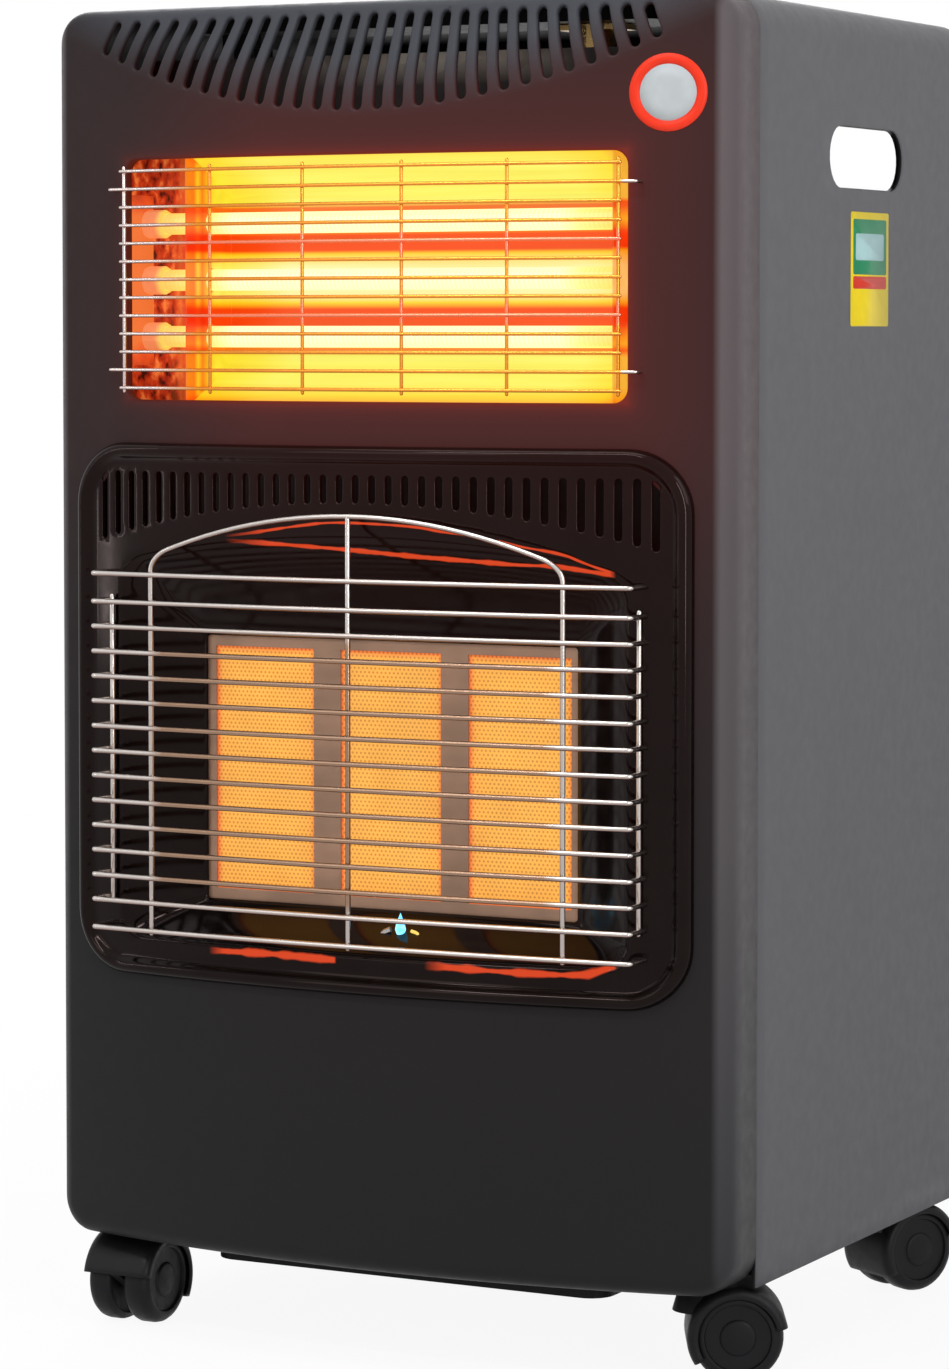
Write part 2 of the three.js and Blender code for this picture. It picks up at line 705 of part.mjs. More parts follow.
function bodyShell() {
  const front = SEAM + GAP;
  const walls = frontPlate(hoop(0), front, REAR, 5);
  const inside = frontPlate(hoop(SHEET), front - SHEET, REAR - SHEET, 5);
  const low = box(-WIDTH / 2 + SHEET, WIDTH / 2 - SHEET, 0, REAR - SHEET, 0, LOWER_EDGE + SHEET);
  // the rear flange runs up both sides, and is deeper across the top
  const back = box(
    -WIDTH / 2 + SHEET + REAR_FLANGE,
    WIDTH / 2 - SHEET - REAR_FLANGE,
    REAR - 2 * SHEET,
    REAR + SHEET,
    0,
    HEIGHT - REAR_HEADER,
  );
  const lips = [-1, 1].map((side) => {
    const [x0, x1] = [WIDTH / 2 - HAND_LIP - SHEET, WIDTH / 2 - SHEET / 2].map((x) => side * x);
    return sidePlate(handSlot(SHEET), Math.min(x0, x1), Math.max(x0, x1), 4);
  });
  const across = sidePlate(handSlot(0), -WIDTH, WIDTH, 4);
  const [halfX, halfY] = topHoleHalf;
  const consoleHole = planPlate(
    roundedRect(-halfX, halfX, CONSOLE_Y - halfY, CONSOLE_Y + halfY, CONSOLE_CORNER - CONSOLE_RIM),
    HEIGHT - 2 * SHEET,
    HEIGHT + SHEET,
  );
  const gland = barAlongY(GLAND_X, REAR - 2 * SHEET, REAR + SHEET, glandZ, GLAND_RADIUS - 2);
  return cut(join([cut(walls, [inside, low, back]), ...lips]), [across, consoleHole, gland]);
}

const glandZ = HEIGHT - REAR_HEADER / 2;

function cableGland() {
  const nut = barAlongY(GLAND_X, REAR + GAP, REAR + GLAND_REACH, glandZ, GLAND_RADIUS, 6);
  const neck = barAlongY(GLAND_X, REAR - SHEET * 3, REAR + 1, glandZ, GLAND_RADIUS - 2 - GAP);
  const locknut = barAlongY(
    GLAND_X,
    REAR - SHEET - GAP - 4,
    REAR - SHEET - GAP,
    glandZ,
    GLAND_RADIUS,
    6,
  );
  const bore = barAlongY(GLAND_X, REAR - SEAM, REAR + SEAM, glandZ, GLAND_BORE, 10);
  return cut(join([nut, neck, locknut]), [bore]);
}

// ---------------------------------------------------------------- base tray and rear cover

function baseTray() {
  const half = WIDTH / 2 - SHEET - GAP;
  const lipHalf = half - REAR_FLANGE - SHEET;
  const margin = join([
    box(-half, half, SEAM + GAP, TRAY_REAR, TRAY_Z, TRAY_Z + SHEET),
    box(-TRAY_FRONT_HALF, TRAY_FRONT_HALF, TRAY_FRONT, SEAM + 1, TRAY_Z, TRAY_Z + SHEET),
  ]);
  const lip = box(-lipHalf, lipHalf, TRAY_REAR - 1, TRAY_REAR + TRAY_LIP, TRAY_Z, TRAY_Z + SHEET);
  const well = (inset, z0, z1) =>
    planPlate(
      roundedRect(
        -WELL_HALF + inset,
        WELL_HALF - inset,
        TRAY_FRONT + inset,
        WELL_REAR - inset,
        WELL_CORNER - inset,
      ),
      z0,
      z1,
    );
  const flangeTop = TRAY_Z + TRAY_FLANGE;
  const sides = [-1, 1].map((side) => {
    const [x0, x1] = side < 0 ? [-half, -half + SHEET] : [half - SHEET, half];
    return box(x0, x1, SHIELD_Y + 2 * SHEET, TRAY_REAR, TRAY_Z, flangeTop);
  });
  const rear = box(
    -lipHalf + COVER_RIM,
    lipHalf - COVER_RIM,
    TRAY_REAR - SHEET,
    TRAY_REAR,
    TRAY_Z,
    flangeTop,
  );
  const solidTray = join([margin, lip, well(0, WELL_FLOOR, TRAY_Z + SHEET), ...sides, rear]);
  return cut(solidTray, [well(SHEET, WELL_FLOOR + SHEET, flangeTop + SHEET)]);
}

function rearCover() {
  const bottom = TRAY_Z + SHEET + GAP;
  const back = REAR + GAP;
  const skin = frontPlate(
    roundedRect(-COVER_HALF, COVER_HALF, bottom, COVER_TOP, SHEET * 4),
    back,
    back + SHEET,
  );
  const rimHalf = WIDTH / 2 - SHEET - REAR_FLANGE - GAP * 2;
  const rimTop = COVER_TOP - SHEET * 3;
  const sides = [-1, 1].map((side) => {
    const [x0, x1] = side < 0 ? [-rimHalf, -rimHalf + SHEET] : [rimHalf - SHEET, rimHalf];
    return box(x0, x1, back - COVER_RIM, back + SHEET / 2, bottom, rimTop);
  });
  const top = box(-rimHalf, rimHalf, back - COVER_RIM, back + SHEET / 2, rimTop - SHEET, rimTop);
  const slot = (z) =>
    box(
      -COVER_SLOT_LENGTH / 2,
      COVER_SLOT_LENGTH / 2,
      back - SHEET,
      back + 2 * SHEET,
      z - COVER_SLOT_HEIGHT / 2,
      z + COVER_SLOT_HEIGHT / 2,
    );
  const slots = [];
  for (let i = 0; i < COVER_SLOTS; i++) slots.push(slot(COVER_SLOT_Z - i * COVER_SLOT_PITCH));
  const grip = frontPlate(
    roundedRect(
      -COVER_GRIP_WIDTH / 2,
      COVER_GRIP_WIDTH / 2,
      COVER_GRIP_Z - COVER_GRIP_HEIGHT / 2,
      COVER_GRIP_Z + COVER_GRIP_HEIGHT / 2,
      COVER_GRIP_HEIGHT * 0.49,
    ),
    back - SHEET,
    back + 2 * SHEET,
    3,
  );
  return cut(join([skin, ...sides, top]), [...slots, grip]);
}

// ---------------------------------------------------------------- heat shield

function heatShield() {
  const half = WIDTH / 2 - SHEET - GAP;
  const bottom = TRAY_Z + SHEET + GAP;
  const sheet = box(-half, half, SHIELD_Y, SHIELD_Y + SHEET, bottom, SHIELD_TOP);
  const flanges = [-1, 1].map((side) => {
    const [x0, x1] = side < 0 ? [-half, -half + SHEET] : [half - SHEET, half];
    const foot = TRAY_Z + TRAY_FLANGE + GAP;
    return box(x0, x1, SHIELD_Y, SHIELD_Y + SHIELD_FLANGE, foot, SHIELD_TOP - CORNER);
  });
  const corners = [-1, 1].map((side) =>
    box(
      Math.min(side * (half - CORNER), side * (half + 1)),
      Math.max(side * (half - CORNER), side * (half + 1)),
      SHIELD_Y - SHEET,
      SHIELD_Y + 2 * SHEET,
      SHIELD_TOP - CORNER / 3,
      SHIELD_TOP + 1,
    ),
  );
  const topFlange = box(
    -half + CORNER,
    half - CORNER,
    SHIELD_Y,
    SHIELD_Y + SHIELD_FLANGE / 2,
    SHIELD_TOP - SHEET,
    SHIELD_TOP,
  );
  const pipeHole = barAlongY(
    PIPE_X,
    SHIELD_Y - SHEET,
    SHIELD_Y + 2 * SHEET,
    MANIFOLD_Z,
    PIPE_RADIUS + SHEET,
  );
  return cut(join([sheet, ...flanges, topFlange]), [...corners, pipeHole]);
}

// ---------------------------------------------------------------- burner surround

function burnerSurround() {
  const half = SURROUND_WIDTH / 2;
  const onFace = (proud) => (x) => face(x) - proud;
  const inset = (d) =>
    columns({
      half: half - d,
      bottom: SURROUND_BOTTOM + d,
      top: SURROUND_TOP - d,
      radius: SURROUND_CORNER - d,
    });
  const recess = columns({
    half: RECESS_HALF,
    bottom: RECESS_BOTTOM,
    top: RECESS_SIDE_TOP,
    radius: RECESS_CORNER,
    crown: RECESS_CROWN,
  });
  const throat = columns({
    half: FRAME_WIDTH / 2 - 1,
    bottom: BURNER_Z - FRAME_HEIGHT / 2 + 1,
    top: BURNER_Z + FRAME_HEIGHT / 2 - 1,
    radius: 2,
  });
  const land = onFace(LAND);
  const front = [
    loop(inset(0), land),
    loop(inset(BEAD_WIDTH * 0.25), onFace(BEAD_HEIGHT)),
    loop(inset(BEAD_WIDTH * 0.6), onFace(BEAD_HEIGHT)),
    loop(inset(BEAD_WIDTH), land),
    loop(recess, land),
    loop(throat, () => FRAME_Y - GAP - SHEET),
  ];
  const rear = front.toReversed().map((ring) => ring.map(([x, y, z]) => [x, y + SHEET, z]));
  const tools = [];
  for (let i = 0; i < RIB_COUNT; i++) {
    const x = (i - (RIB_COUNT - 1) / 2) * RIB_PITCH;
    const foot = RIB_FOOT - (RIB_ARC - Math.sqrt(RIB_ARC ** 2 - x ** 2));
    tools.push(box(x - RIB_WIDTH / 2, x + RIB_WIDTH / 2, -2 * BOW, 0, foot, RIB_TOP));
  }
  const legHoles = LOWER_LEG_ROWS.flatMap((row) =>
    [-1, 1].map((side) =>
      barAlongY(side * LOWER_LEG_X, -BOW, BOW, lowerRow(row), LOWER_WIRE + GAP * 2, 8),
    ),
  );
  const pilotHole = box(
    PILOT_X - PILOT_SPACING - 6,
    PILOT_X + PILOT_SPACING + 6,
    PILOT_Y - 12,
    PILOT_Y + 13,
    RECESS_BOTTOM,
    BURNER_Z - FRAME_HEIGHT / 2 + 4,
  );
  return cut(ringSolid([...front, ...rear].toReversed()), [join(tools), ...legHoles, pilotHole]);
}

// ---------------------------------------------------------------- burner

const plaqueX = (i) => (i - (PLAQUE_COUNT - 1) / 2) * PLAQUE_PITCH;
const plaqueFront = FRAME_Y + FRAME_SHEET + GAP;

function plaqueFrame() {
  const halfHeight = FRAME_HEIGHT / 2;
  const rear = FRAME_Y + FRAME_DEPTH;
  const block = box(
    -FRAME_WIDTH / 2,
    FRAME_WIDTH / 2,
    FRAME_Y,
    rear,
    BURNER_Z - halfHeight,
    BURNER_Z + halfHeight,
  );
  const hollow = box(
    -FRAME_WIDTH / 2 + FRAME_SHEET,
    FRAME_WIDTH / 2 - FRAME_SHEET,
    FRAME_Y + FRAME_SHEET,
    rear + 1,
    BURNER_Z - halfHeight + FRAME_SHEET,
    BURNER_Z + halfHeight - FRAME_SHEET,
  );
  const openings = Array.from({ length: PLAQUE_COUNT }, (_, i) => {
    const halfX = PLAQUE_WIDTH / 2 - FRAME_LAP;
    const halfZ = PLAQUE_HEIGHT / 2 - FRAME_LAP;
    return box(plaqueX(i) - halfX, plaqueX(i) + halfX, 0, rear, BURNER_Z - halfZ, BURNER_Z + halfZ);
  });
  return cut(block, [hollow, ...openings]);
}

function plaque(i) {
  const [halfX, halfZ] = [PLAQUE_WIDTH / 2, PLAQUE_HEIGHT / 2];
  return box(
    plaqueX(i) - halfX,
    plaqueX(i) + halfX,
    plaqueFront,
    plaqueFront + PLAQUE_DEPTH,
    BURNER_Z - halfZ,
    BURNER_Z + halfZ,
  );
}

// A drawn box behind one plaque, with the mixing tube that feeds it from below.
function burnerBox(i) {
  const x = plaqueX(i);
  const halfX = PLAQUE_WIDTH / 2 + GAP;
  const halfZ = PLAQUE_HEIGHT / 2 + GAP;
  const rear = plaqueFront + BOX_DEPTH;
  const [bottom, top] = [BURNER_Z - halfZ, BURNER_Z + halfZ];
  const outer = (grow, y0, y1) =>
    frontPlate(
      roundedRect(x - halfX - grow, x + halfX + grow, bottom - grow, top + grow, BOX_CORNER + grow),
      y0,
      y1,
      2,
    );
  const seat = box(x - halfX, x + halfX, 0, plaqueFront + PLAQUE_DEPTH + GAP, bottom, top);
  const low = bottom - VENTURI_LENGTH;
  const flare = (radius, z0, z1) =>
    post(x, MANIFOLD_Y, z0, z1, radius + VENTURI_FLARE, 10, radius);
  const tube = join([
    post(x, MANIFOLD_Y, low, bottom + BOX_WALL, VENTURI_RADIUS, 10),
    flare(VENTURI_RADIUS, low, low + VENTURI_MOUTH),
  ]);
  const boreRadius = VENTURI_RADIUS - VENTURI_WALL;
  const bore = join([
    post(x, MANIFOLD_Y, low - 1, BURNER_Z, boreRadius, 10),
    flare(boreRadius, low - 1, low - 1 + VENTURI_MOUTH),
  ]);
  const body = join([outer(BOX_WALL, plaqueFront, rear), tube]);
  return cut(body, [outer(0, plaqueFront - 1, rear - BOX_WALL), seat, bore]);
}

function gasManifold() {
  const pipe = barAlongX(-MANIFOLD_HALF, MANIFOLD_HALF, MANIFOLD_Y, MANIFOLD_Z, MANIFOLD_RADIUS);
  const tip = MANIFOLD_Z + INJECTOR_RISE;
  const hexTop = MANIFOLD_Z + INJECTOR_RISE * 0.6;
  const injectors = Array.from({ length: PLAQUE_COUNT }, (_, i) =>
    join([
      post(plaqueX(i), MANIFOLD_Y, MANIFOLD_Z, hexTop, INJECTOR_RADIUS * 1.4, 6),
      post(plaqueX(i), MANIFOLD_Y, MANIFOLD_Z, tip, INJECTOR_RADIUS, 10, INJECTOR_RADIUS / 2),
    ]),
  );
  const lugs = [-1, 1].map((side) => {
    const x = (side * PLAQUE_PITCH) / 2;
    const [halfX, halfZ] = [LUG_WIDTH / 2, LUG_THICKNESS / 2];
    return box(x - halfX, x + halfX, MANIFOLD_Y, SHIELD_Y - GAP, MANIFOLD_Z - halfZ, MANIFOLD_Z + halfZ);
  });
  return join([pipe, ...injectors, ...lugs]);
}

// ---------------------------------------------------------------- pilot

const pilotRear = FRAME_Y + FRAME_SHEET + 1;

function pilotBurner() {
  const halfWidth = PILOT_SPACING + 6;
  const top = BURNER_Z - FRAME_HEIGHT / 2 - GAP;
  const [left, right] = [PILOT_X - halfWidth, PILOT_X + halfWidth];
  const back = pilotRear + PILOT_SHEET;
  const shelfTop = PILOT_PLATE_Z + PILOT_SHEET;
  const upright = box(left, right, pilotRear, back, PILOT_PLATE_Z, top);
  const shelf = box(left, right, PILOT_Y - 7, back, PILOT_PLATE_Z, shelfTop);
  const holes = [-1, 1].map((side) =>
    post(PILOT_X + side * PILOT_SPACING, PILOT_Y, PILOT_PLATE_Z - 1, PILOT_PLATE_Z + 3, 3 + 2 * GAP, 8),
  );
  const nozzle = join([
    post(PILOT_X, PILOT_Y, PILOT_PLATE_Z - 8, PILOT_TIP - 6, 4, 8),
    post(PILOT_X, PILOT_Y, PILOT_TIP - 6.5, PILOT_TIP, 3, 8, 5),
    post(PILOT_X, PILOT_Y, PILOT_PLATE_Z - 6, PILOT_PLATE_Z - 1, 5.5, 6),
  ]);
  const feedZ = MANIFOLD_Z - PILOT_FEED_DROP;
  const feed = rod(
    bent(
      [
        [PILOT_X, PILOT_Y, PILOT_PLATE_Z - 6],
        [PILOT_X, PILOT_Y, feedZ],
        [PILOT_X, MANIFOLD_Y, feedZ],
        [PILOT_X, MANIFOLD_Y, MANIFOLD_Z - MANIFOLD_RADIUS - GAP],
      ],
      8,
    ),
    1.6,
    6,
  );
  return join([cut(join([upright, shelf]), holes), nozzle, feed]);
}

// Both probes stand through the holes of the pilot's shelf.
function thermocouple() {
  const x = PILOT_X - PILOT_SPACING;
  const probe = [
    [x, PILOT_Y, PILOT_PLATE_Z + 3],
    [x, PILOT_Y, PILOT_TIP + 2],
    [x + 5, PILOT_Y, PILOT_TIP + 4],
  ];
  return join([
    post(x, PILOT_Y, PILOT_PLATE_Z - 9, PILOT_PLATE_Z + 4, 3, 8),
    post(x, PILOT_Y, PILOT_PLATE_Z - 4.5, PILOT_PLATE_Z - GAP, 4.5, 6),
    rod(bent(probe, 1.5), 1.6, 6),
  ]);
}

function sparkElectrode() {
  const x = PILOT_X + PILOT_SPACING;
  const wire = [
    [x, PILOT_Y, PILOT_TIP - 4],
    [x, PILOT_Y, PILOT_TIP + 3],
    [x - 4.5, PILOT_Y, PILOT_TIP + 4],
  ];
  return join([
    post(x, PILOT_Y, PILOT_PLATE_Z - 12, PILOT_TIP - 3, 3, 8),
    post(x, PILOT_Y, PILOT_PLATE_Z - 4.5, PILOT_PLATE_Z - GAP, 4.5, 8),
    rod(bent(wire, 1.5), 0.9, 6),
  ]);
}

// ---------------------------------------------------------------- wire guards

function lowerRow(i) {
  if (i === 0) return LOWER_BOTTOM;
  if (i === LOWER_ROWS - 1) return LOWER_TOP;
  const inner = LOWER_TOP - LOWER_BOTTOM - 2 * LOWER_END_PITCH;
  return LOWER_BOTTOM + LOWER_END_PITCH + (inner * (i - 1)) / (LOWER_ROWS - 3);
}

// Y of the burner guard's bowed wires at x.
const lowerGuardY = (x) => LOWER_STAND - LOWER_BULGE * (1 - (x / LOWER_LEG_X) ** 2);

// A bowed horizontal wire whose two ends are bent back to `root`.
function bowedWire(z, half, depth, root, pieces) {
  const run = [];
  for (let i = 0; i <= pieces; i++) {
    const x = half * ((2 * i) / pieces - 1);
    run.push([x, depth(x), z]);
  }
  const bend = LEG_BEND;
  run[0] = [-half + bend, depth(half), z];
  run[pieces] = [half - bend, depth(half), z];
  const leg = (side) => [
    [side * half, root, z],
    [side * half, depth(half) + bend, z],
  ];
  return [...leg(-1), ...run, ...leg(1).toReversed()];
}

function lowerGuard() {
  const sides = 4;
  const behind = 2 * LOWER_WIRE - 2 * WELD;
  const landFront = face(LOWER_LEG_X) - LAND;
  const rows = Array.from({ length: LOWER_ROWS }, (_, i) => {
    const root = LOWER_LEG_ROWS.includes(i) ? landFront + SHEET * 4 : landFront - GAP;
    return rod(bowedWire(lowerRow(i), LOWER_LEG_X, lowerGuardY, root, 4), LOWER_WIRE, sides);
  });
  const rodAt = (x, y, z0, z1) => rod([[x, y, z0], [x, y, z1]], LOWER_WIRE, sides);
  const middle = rodAt(0, lowerGuardY(0) + behind, LOWER_BOTTOM - LOWER_WIRE, ARCH_TOP);
  const uprights = [-1, 1].map((side) =>
    rodAt(side * (LOWER_LEG_X - behind), landFront - 3, lowerRow(1) - 2, lowerRow(LOWER_ROWS - 2) + 2),
  );
  const archLegY = lowerGuardY(ARCH_HALF) + behind;
  const crown = [];
  for (let i = -3; i <= 3; i++) {
    const x = (i / 3) * (ARCH_HALF - 9);
    const rise = (ARCH_TOP - ARCH_SHOULDER) * (1 - (x / ARCH_HALF) ** 2);
    crown.push([x, lowerGuardY(x) + behind, ARCH_SHOULDER + rise]);
  }
  const shoulder = (side) => [
    [side * ARCH_HALF, archLegY, LOWER_BOTTOM - LOWER_WIRE],
    [side * ARCH_HALF, archLegY, ARCH_SHOULDER - 9],
    [side * (ARCH_HALF - 2.6), archLegY, ARCH_SHOULDER - 2.6],
  ];
  const arch = rod([...shoulder(-1), ...crown, ...shoulder(1).toReversed()], LOWER_WIRE, sides);
  return join([...rows, middle, ...uprights, arch]);
}

function upperGuard() {
  const sides = 4;
  const behind = 2 * UPPER_WIRE - 1.5 * WELD;
  const wireY = (x) => face(x) - UPPER_STAND;
  const plain = (z) => {
    const points = [];
    for (let i = 0; i <= 4; i++) {
      const x = UPPER_HALF * (i / 2 - 1);
      points.push([x, wireY(x), z]);
    }
    return points;
  };
  const rows = Array.from({ length: UPPER_ROWS }, (_, i) => {
    const z = upperRow(i);
    const legged = UPPER_LEG_ROWS.includes(i);
    const root = face(UPPER_LEG_X) + SHEET * 3;
    return rod(legged ? bowedWire(z, UPPER_LEG_X, wireY, root, 4) : plain(z), UPPER_WIRE, sides);
  });
  const bars = Array.from({ length: UPPER_BARS }, (_, i) => {
    const x = UPPER_BAR_HALF * ((2 * i) / (UPPER_BARS - 1) - 1);
    const y = wireY(x) + behind;
    return rod([[x, y, upperRow(0) - 2], [x, y, upperRow(UPPER_ROWS - 1) + 2]], UPPER_WIRE, sides);
  });
  return join([...rows, ...bars]);
}

// ---------------------------------------------------------------- electric section

const tubeZ = (i) => WINDOW_Z + (i - (TUBE_COUNT - 1) / 2) * TUBE_PITCH;
const bracketX = TUBE_HALF - CAP_SOCKET + CAP_LENGTH + GAP;

function reflector() {
  const t = REFLECTOR_SHEET;
  const [mouth, floor] = [REFLECTOR_MOUTH / 2, REFLECTOR_FLOOR / 2];
  const trough = (inset, front) =>
    polygon([
      [front, WINDOW_Z - mouth + inset],
      [REFLECTOR_BACK - inset, WINDOW_Z - floor + inset],
      [REFLECTOR_BACK - inset, WINDOW_Z + floor - inset],
      [front, WINDOW_Z + mouth - inset],
    ]);
  const outer = sidePlate(trough(0, REFLECTOR_FRONT), -REFLECTOR_LEFT - t, REFLECTOR_RIGHT + t);
  const inner = sidePlate(trough(t, REFLECTOR_FRONT - 1), -REFLECTOR_LEFT, REFLECTOR_RIGHT);
  const ears = box(
    -bracketX + GAP,
    bracketX - GAP,
    REFLECTOR_BACK - t,
    REFLECTOR_BACK,
    WINDOW_Z - floor + t,
    WINDOW_Z + floor - t,
  );
  const holes = Array.from({ length: TUBE_COUNT }, (_, i) =>
    barAlongX(-TUBE_HALF, TUBE_HALF, TUBE_Y, tubeZ(i), TUBE_RADIUS + 1, 10),
  );
  return cut(join([cut(outer, [inner]), ears]), holes);
}

function quartzTube(i) {
  const wall = barAlongX(-TUBE_HALF, TUBE_HALF, TUBE_Y, tubeZ(i), TUBE_RADIUS, 12);
  const inside = TUBE_RADIUS - TUBE_WALL;
  const bore = barAlongX(-TUBE_HALF - 1, TUBE_HALF + 1, TUBE_Y, tubeZ(i), inside, 12);
  return cut(wall, [bore]);
}

function tubeCap(i, side) {
  const start = TUBE_HALF - CAP_SOCKET;
  const ends = (a, b) => [Math.min(side * a, side * b), Math.max(side * a, side * b)];
  const body = barAlongX(...ends(start, start + CAP_LENGTH), TUBE_Y, tubeZ(i), CAP_RADIUS, 10);
  const fit = TUBE_RADIUS + 2 * GAP;
  const socket = barAlongX(...ends(start - 1, TUBE_HALF + GAP), TUBE_Y, tubeZ(i), fit, 10);
  return cut(body, [socket]);
}

// A bent plate beside the tube ends: its tab follows the back of the bowed face.
function tubeBracket(side) {
  const clear = SHEET + GAP;
  const tabEnd = bracketX + BRACKET_TAB;
  const inner = [bracketX, (bracketX + tabEnd) / 2, tabEnd].map((x) => [x, face(x) + clear]);
  const outline = [
    [bracketX, REFLECTOR_BACK],
    ...inner,
    ...inner.toReversed().slice(0, 2).map(([x, y]) => [x, y + SHEET]),
    [bracketX + SHEET, face(bracketX) + clear + SHEET],
    [bracketX + SHEET, REFLECTOR_BACK],
  ].map(([x, y]) => [side * x, y]);
  return planPlate(polygon(outline), WINDOW_Z - BRACKET_HEIGHT / 2, WINDOW_Z + BRACKET_HEIGHT / 2);
}

// ---------------------------------------------------------------- controls

const consoleFloor = HEIGHT - CONSOLE_SINK;
const switchCentre = (ROCKER_X[0] + ROCKER_X[1]) / 2;
const switchHalfWidth = ROCKER_PITCH / 2 + ROCKER_WIDTH / 2 + GAP + SWITCH_WALL;
const pivotZ = HEIGHT - ROCKER_PIVOT;

function controlConsole() {
  const [holeX, holeY] = topHoleHalf;
  const rim = planPlate(
    roundedRect(
      -CONSOLE_WIDTH / 2,
      CONSOLE_WIDTH / 2,
      CONSOLE_Y - CONSOLE_DEPTH / 2,
      CONSOLE_Y + CONSOLE_DEPTH / 2,
      CONSOLE_CORNER,
    ),
    HEIGHT + GAP,
    HEIGHT + GAP + CONSOLE_RIM_THICKNESS,
    3,
  );
  const tub = (inset, z0, z1) =>
    planPlate(
      roundedRect(
        -holeX + inset,
        holeX - inset,
        CONSOLE_Y - holeY + inset,
        CONSOLE_Y + holeY - inset,
        CONSOLE_CORNER - CONSOLE_RIM - inset,
      ),
      z0,
      z1,
      2,
    );
  const outside = tub(GAP, consoleFloor - CONSOLE_WALL, HEIGHT + CONSOLE_RIM_THICKNESS);
  const inside = tub(GAP + CONSOLE_WALL, consoleFloor, HEIGHT + 2 * CONSOLE_WALL + GAP);
  const spindleHole = post(KNOB_X, CONSOLE_Y, 0, HEIGHT, SPINDLE_RADIUS + 1);
  const switchHole = box(
    switchCentre - switchHalfWidth - GAP,
    switchCentre + switchHalfWidth + GAP,
    CONSOLE_Y - SWITCH_HALF - GAP,
    CONSOLE_Y + SWITCH_HALF + GAP,
    consoleFloor - 2 * CONSOLE_WALL,
    HEIGHT,
  );
  return cut(join([rim, outside]), [inside, spindleHole, switchHole]);
}

function switchBody() {
  const bezel = pivotZ + SWITCH_BEZEL;
  const halfWidth = switchHalfWidth;
  const keelFloor = pivotZ - ROCKER_KEEL - GAP;
  const body = box(
    switchCentre - halfWidth,
    switchCentre + halfWidth,
    CONSOLE_Y - SWITCH_HALF,
    CONSOLE_Y + SWITCH_HALF,
    keelFloor - SWITCH_BASE,
    bezel,
  );
  const wells = ROCKER_X.map((x) =>
    box(
      x - ROCKER_WIDTH / 2 - GAP,
      x + ROCKER_WIDTH / 2 + GAP,
      CONSOLE_Y - SWITCH_HALF + SWITCH_WALL,
      CONSOLE_Y + SWITCH_HALF - SWITCH_WALL,
      keelFloor,
      bezel + 1,
    ),
  );
  const terminals = ROCKER_X.flatMap((x) =>
    [-1, 1].map((side) => {
      const y = CONSOLE_Y + side * (SWITCH_HALF / 2);
      const [halfX, halfY] = [TERMINAL_WIDTH / 2, TERMINAL_THICKNESS / 2];
      const root = keelFloor - SWITCH_BASE;
      return box(x - halfX, x + halfX, y - halfY, y + halfY, root - TERMINAL_LENGTH, root + 1);
    }),
  );
  return join([cut(body, wells), ...terminals]);
}

// Side view of a rocker about its pivot, before it is tilted.
function rocker(x) {
  const key = polygon([
    [0, -ROCKER_KEEL],
    [ROCKER_HALF * 0.85, -1],
    [ROCKER_HALF, ROCKER_HORN],
    [ROCKER_HALF * 0.8, ROCKER_HORN],
    [0, ROCKER_WAIST],
    [-ROCKER_HALF * 0.8, ROCKER_HORN],
    [-ROCKER_HALF, ROCKER_HORN],
    [-ROCKER_HALF * 0.85, -1],
  ]);
  const geometry = geometryOf(sidePlate(key, -ROCKER_WIDTH / 2, ROCKER_WIDTH / 2));
  geometry.rotateX(THREE.MathUtils.degToRad(ROCKER_TILT));
  geometry.translate(x, CONSOLE_Y, pivotZ);
  return geometry;
}

const knobTop = HEIGHT + KNOB_RISE;
const knobBottom = knobTop - KNOB_HEIGHT;
const spindleTop = knobBottom + KNOB_HEIGHT * 0.6;
const valveTop = consoleFloor - CONSOLE_WALL - GAP;
const spindleFoot = valveTop - SPINDLE_FOOT;

function gasKnob() {
  const bore = SPINDLE_RADIUS + GAP;
  const profile = [
    [0, spindleTop + GAP],
    [bore, spindleTop + GAP],
    [bore, knobBottom],
    [KNOB_RADIUS, knobBottom],
    [KNOB_RADIUS, knobBottom + KNOB_FLANGE],
    [KNOB_RADIUS - KNOB_STEP, knobBottom + KNOB_FLANGE + 1],
    [KNOB_RADIUS - KNOB_STEP - 1, knobTop - KNOB_STEP],
    [0, knobTop - KNOB_STEP],
  ].map(([r, z]) => new THREE.Vector2(r, z));
  const lathe = new THREE.LatheGeometry(profile, 18);
  lathe.rotateX(Math.PI / 2);
  lathe.translate(KNOB_X, CONSOLE_Y, 0);
  const grip = box(
    KNOB_X - KNOB_GRIP / 2,
    KNOB_X + KNOB_GRIP / 2,
    CONSOLE_Y - KNOB_RADIUS + 1,
    CONSOLE_Y + KNOB_RADIUS - 4,
    spindleTop + 2 * GAP,
    knobTop,
  );
  return solid(lathe).add(grip);
}

function valveSpindle() {
  return join([
    post(KNOB_X, CONSOLE_Y, spindleFoot, spindleTop, SPINDLE_RADIUS),
    post(KNOB_X, CONSOLE_Y, spindleFoot, spindleFoot + COLLAR_HEIGHT, SPINDLE_RADIUS + SPINDLE_COLLAR),
  ]);
}

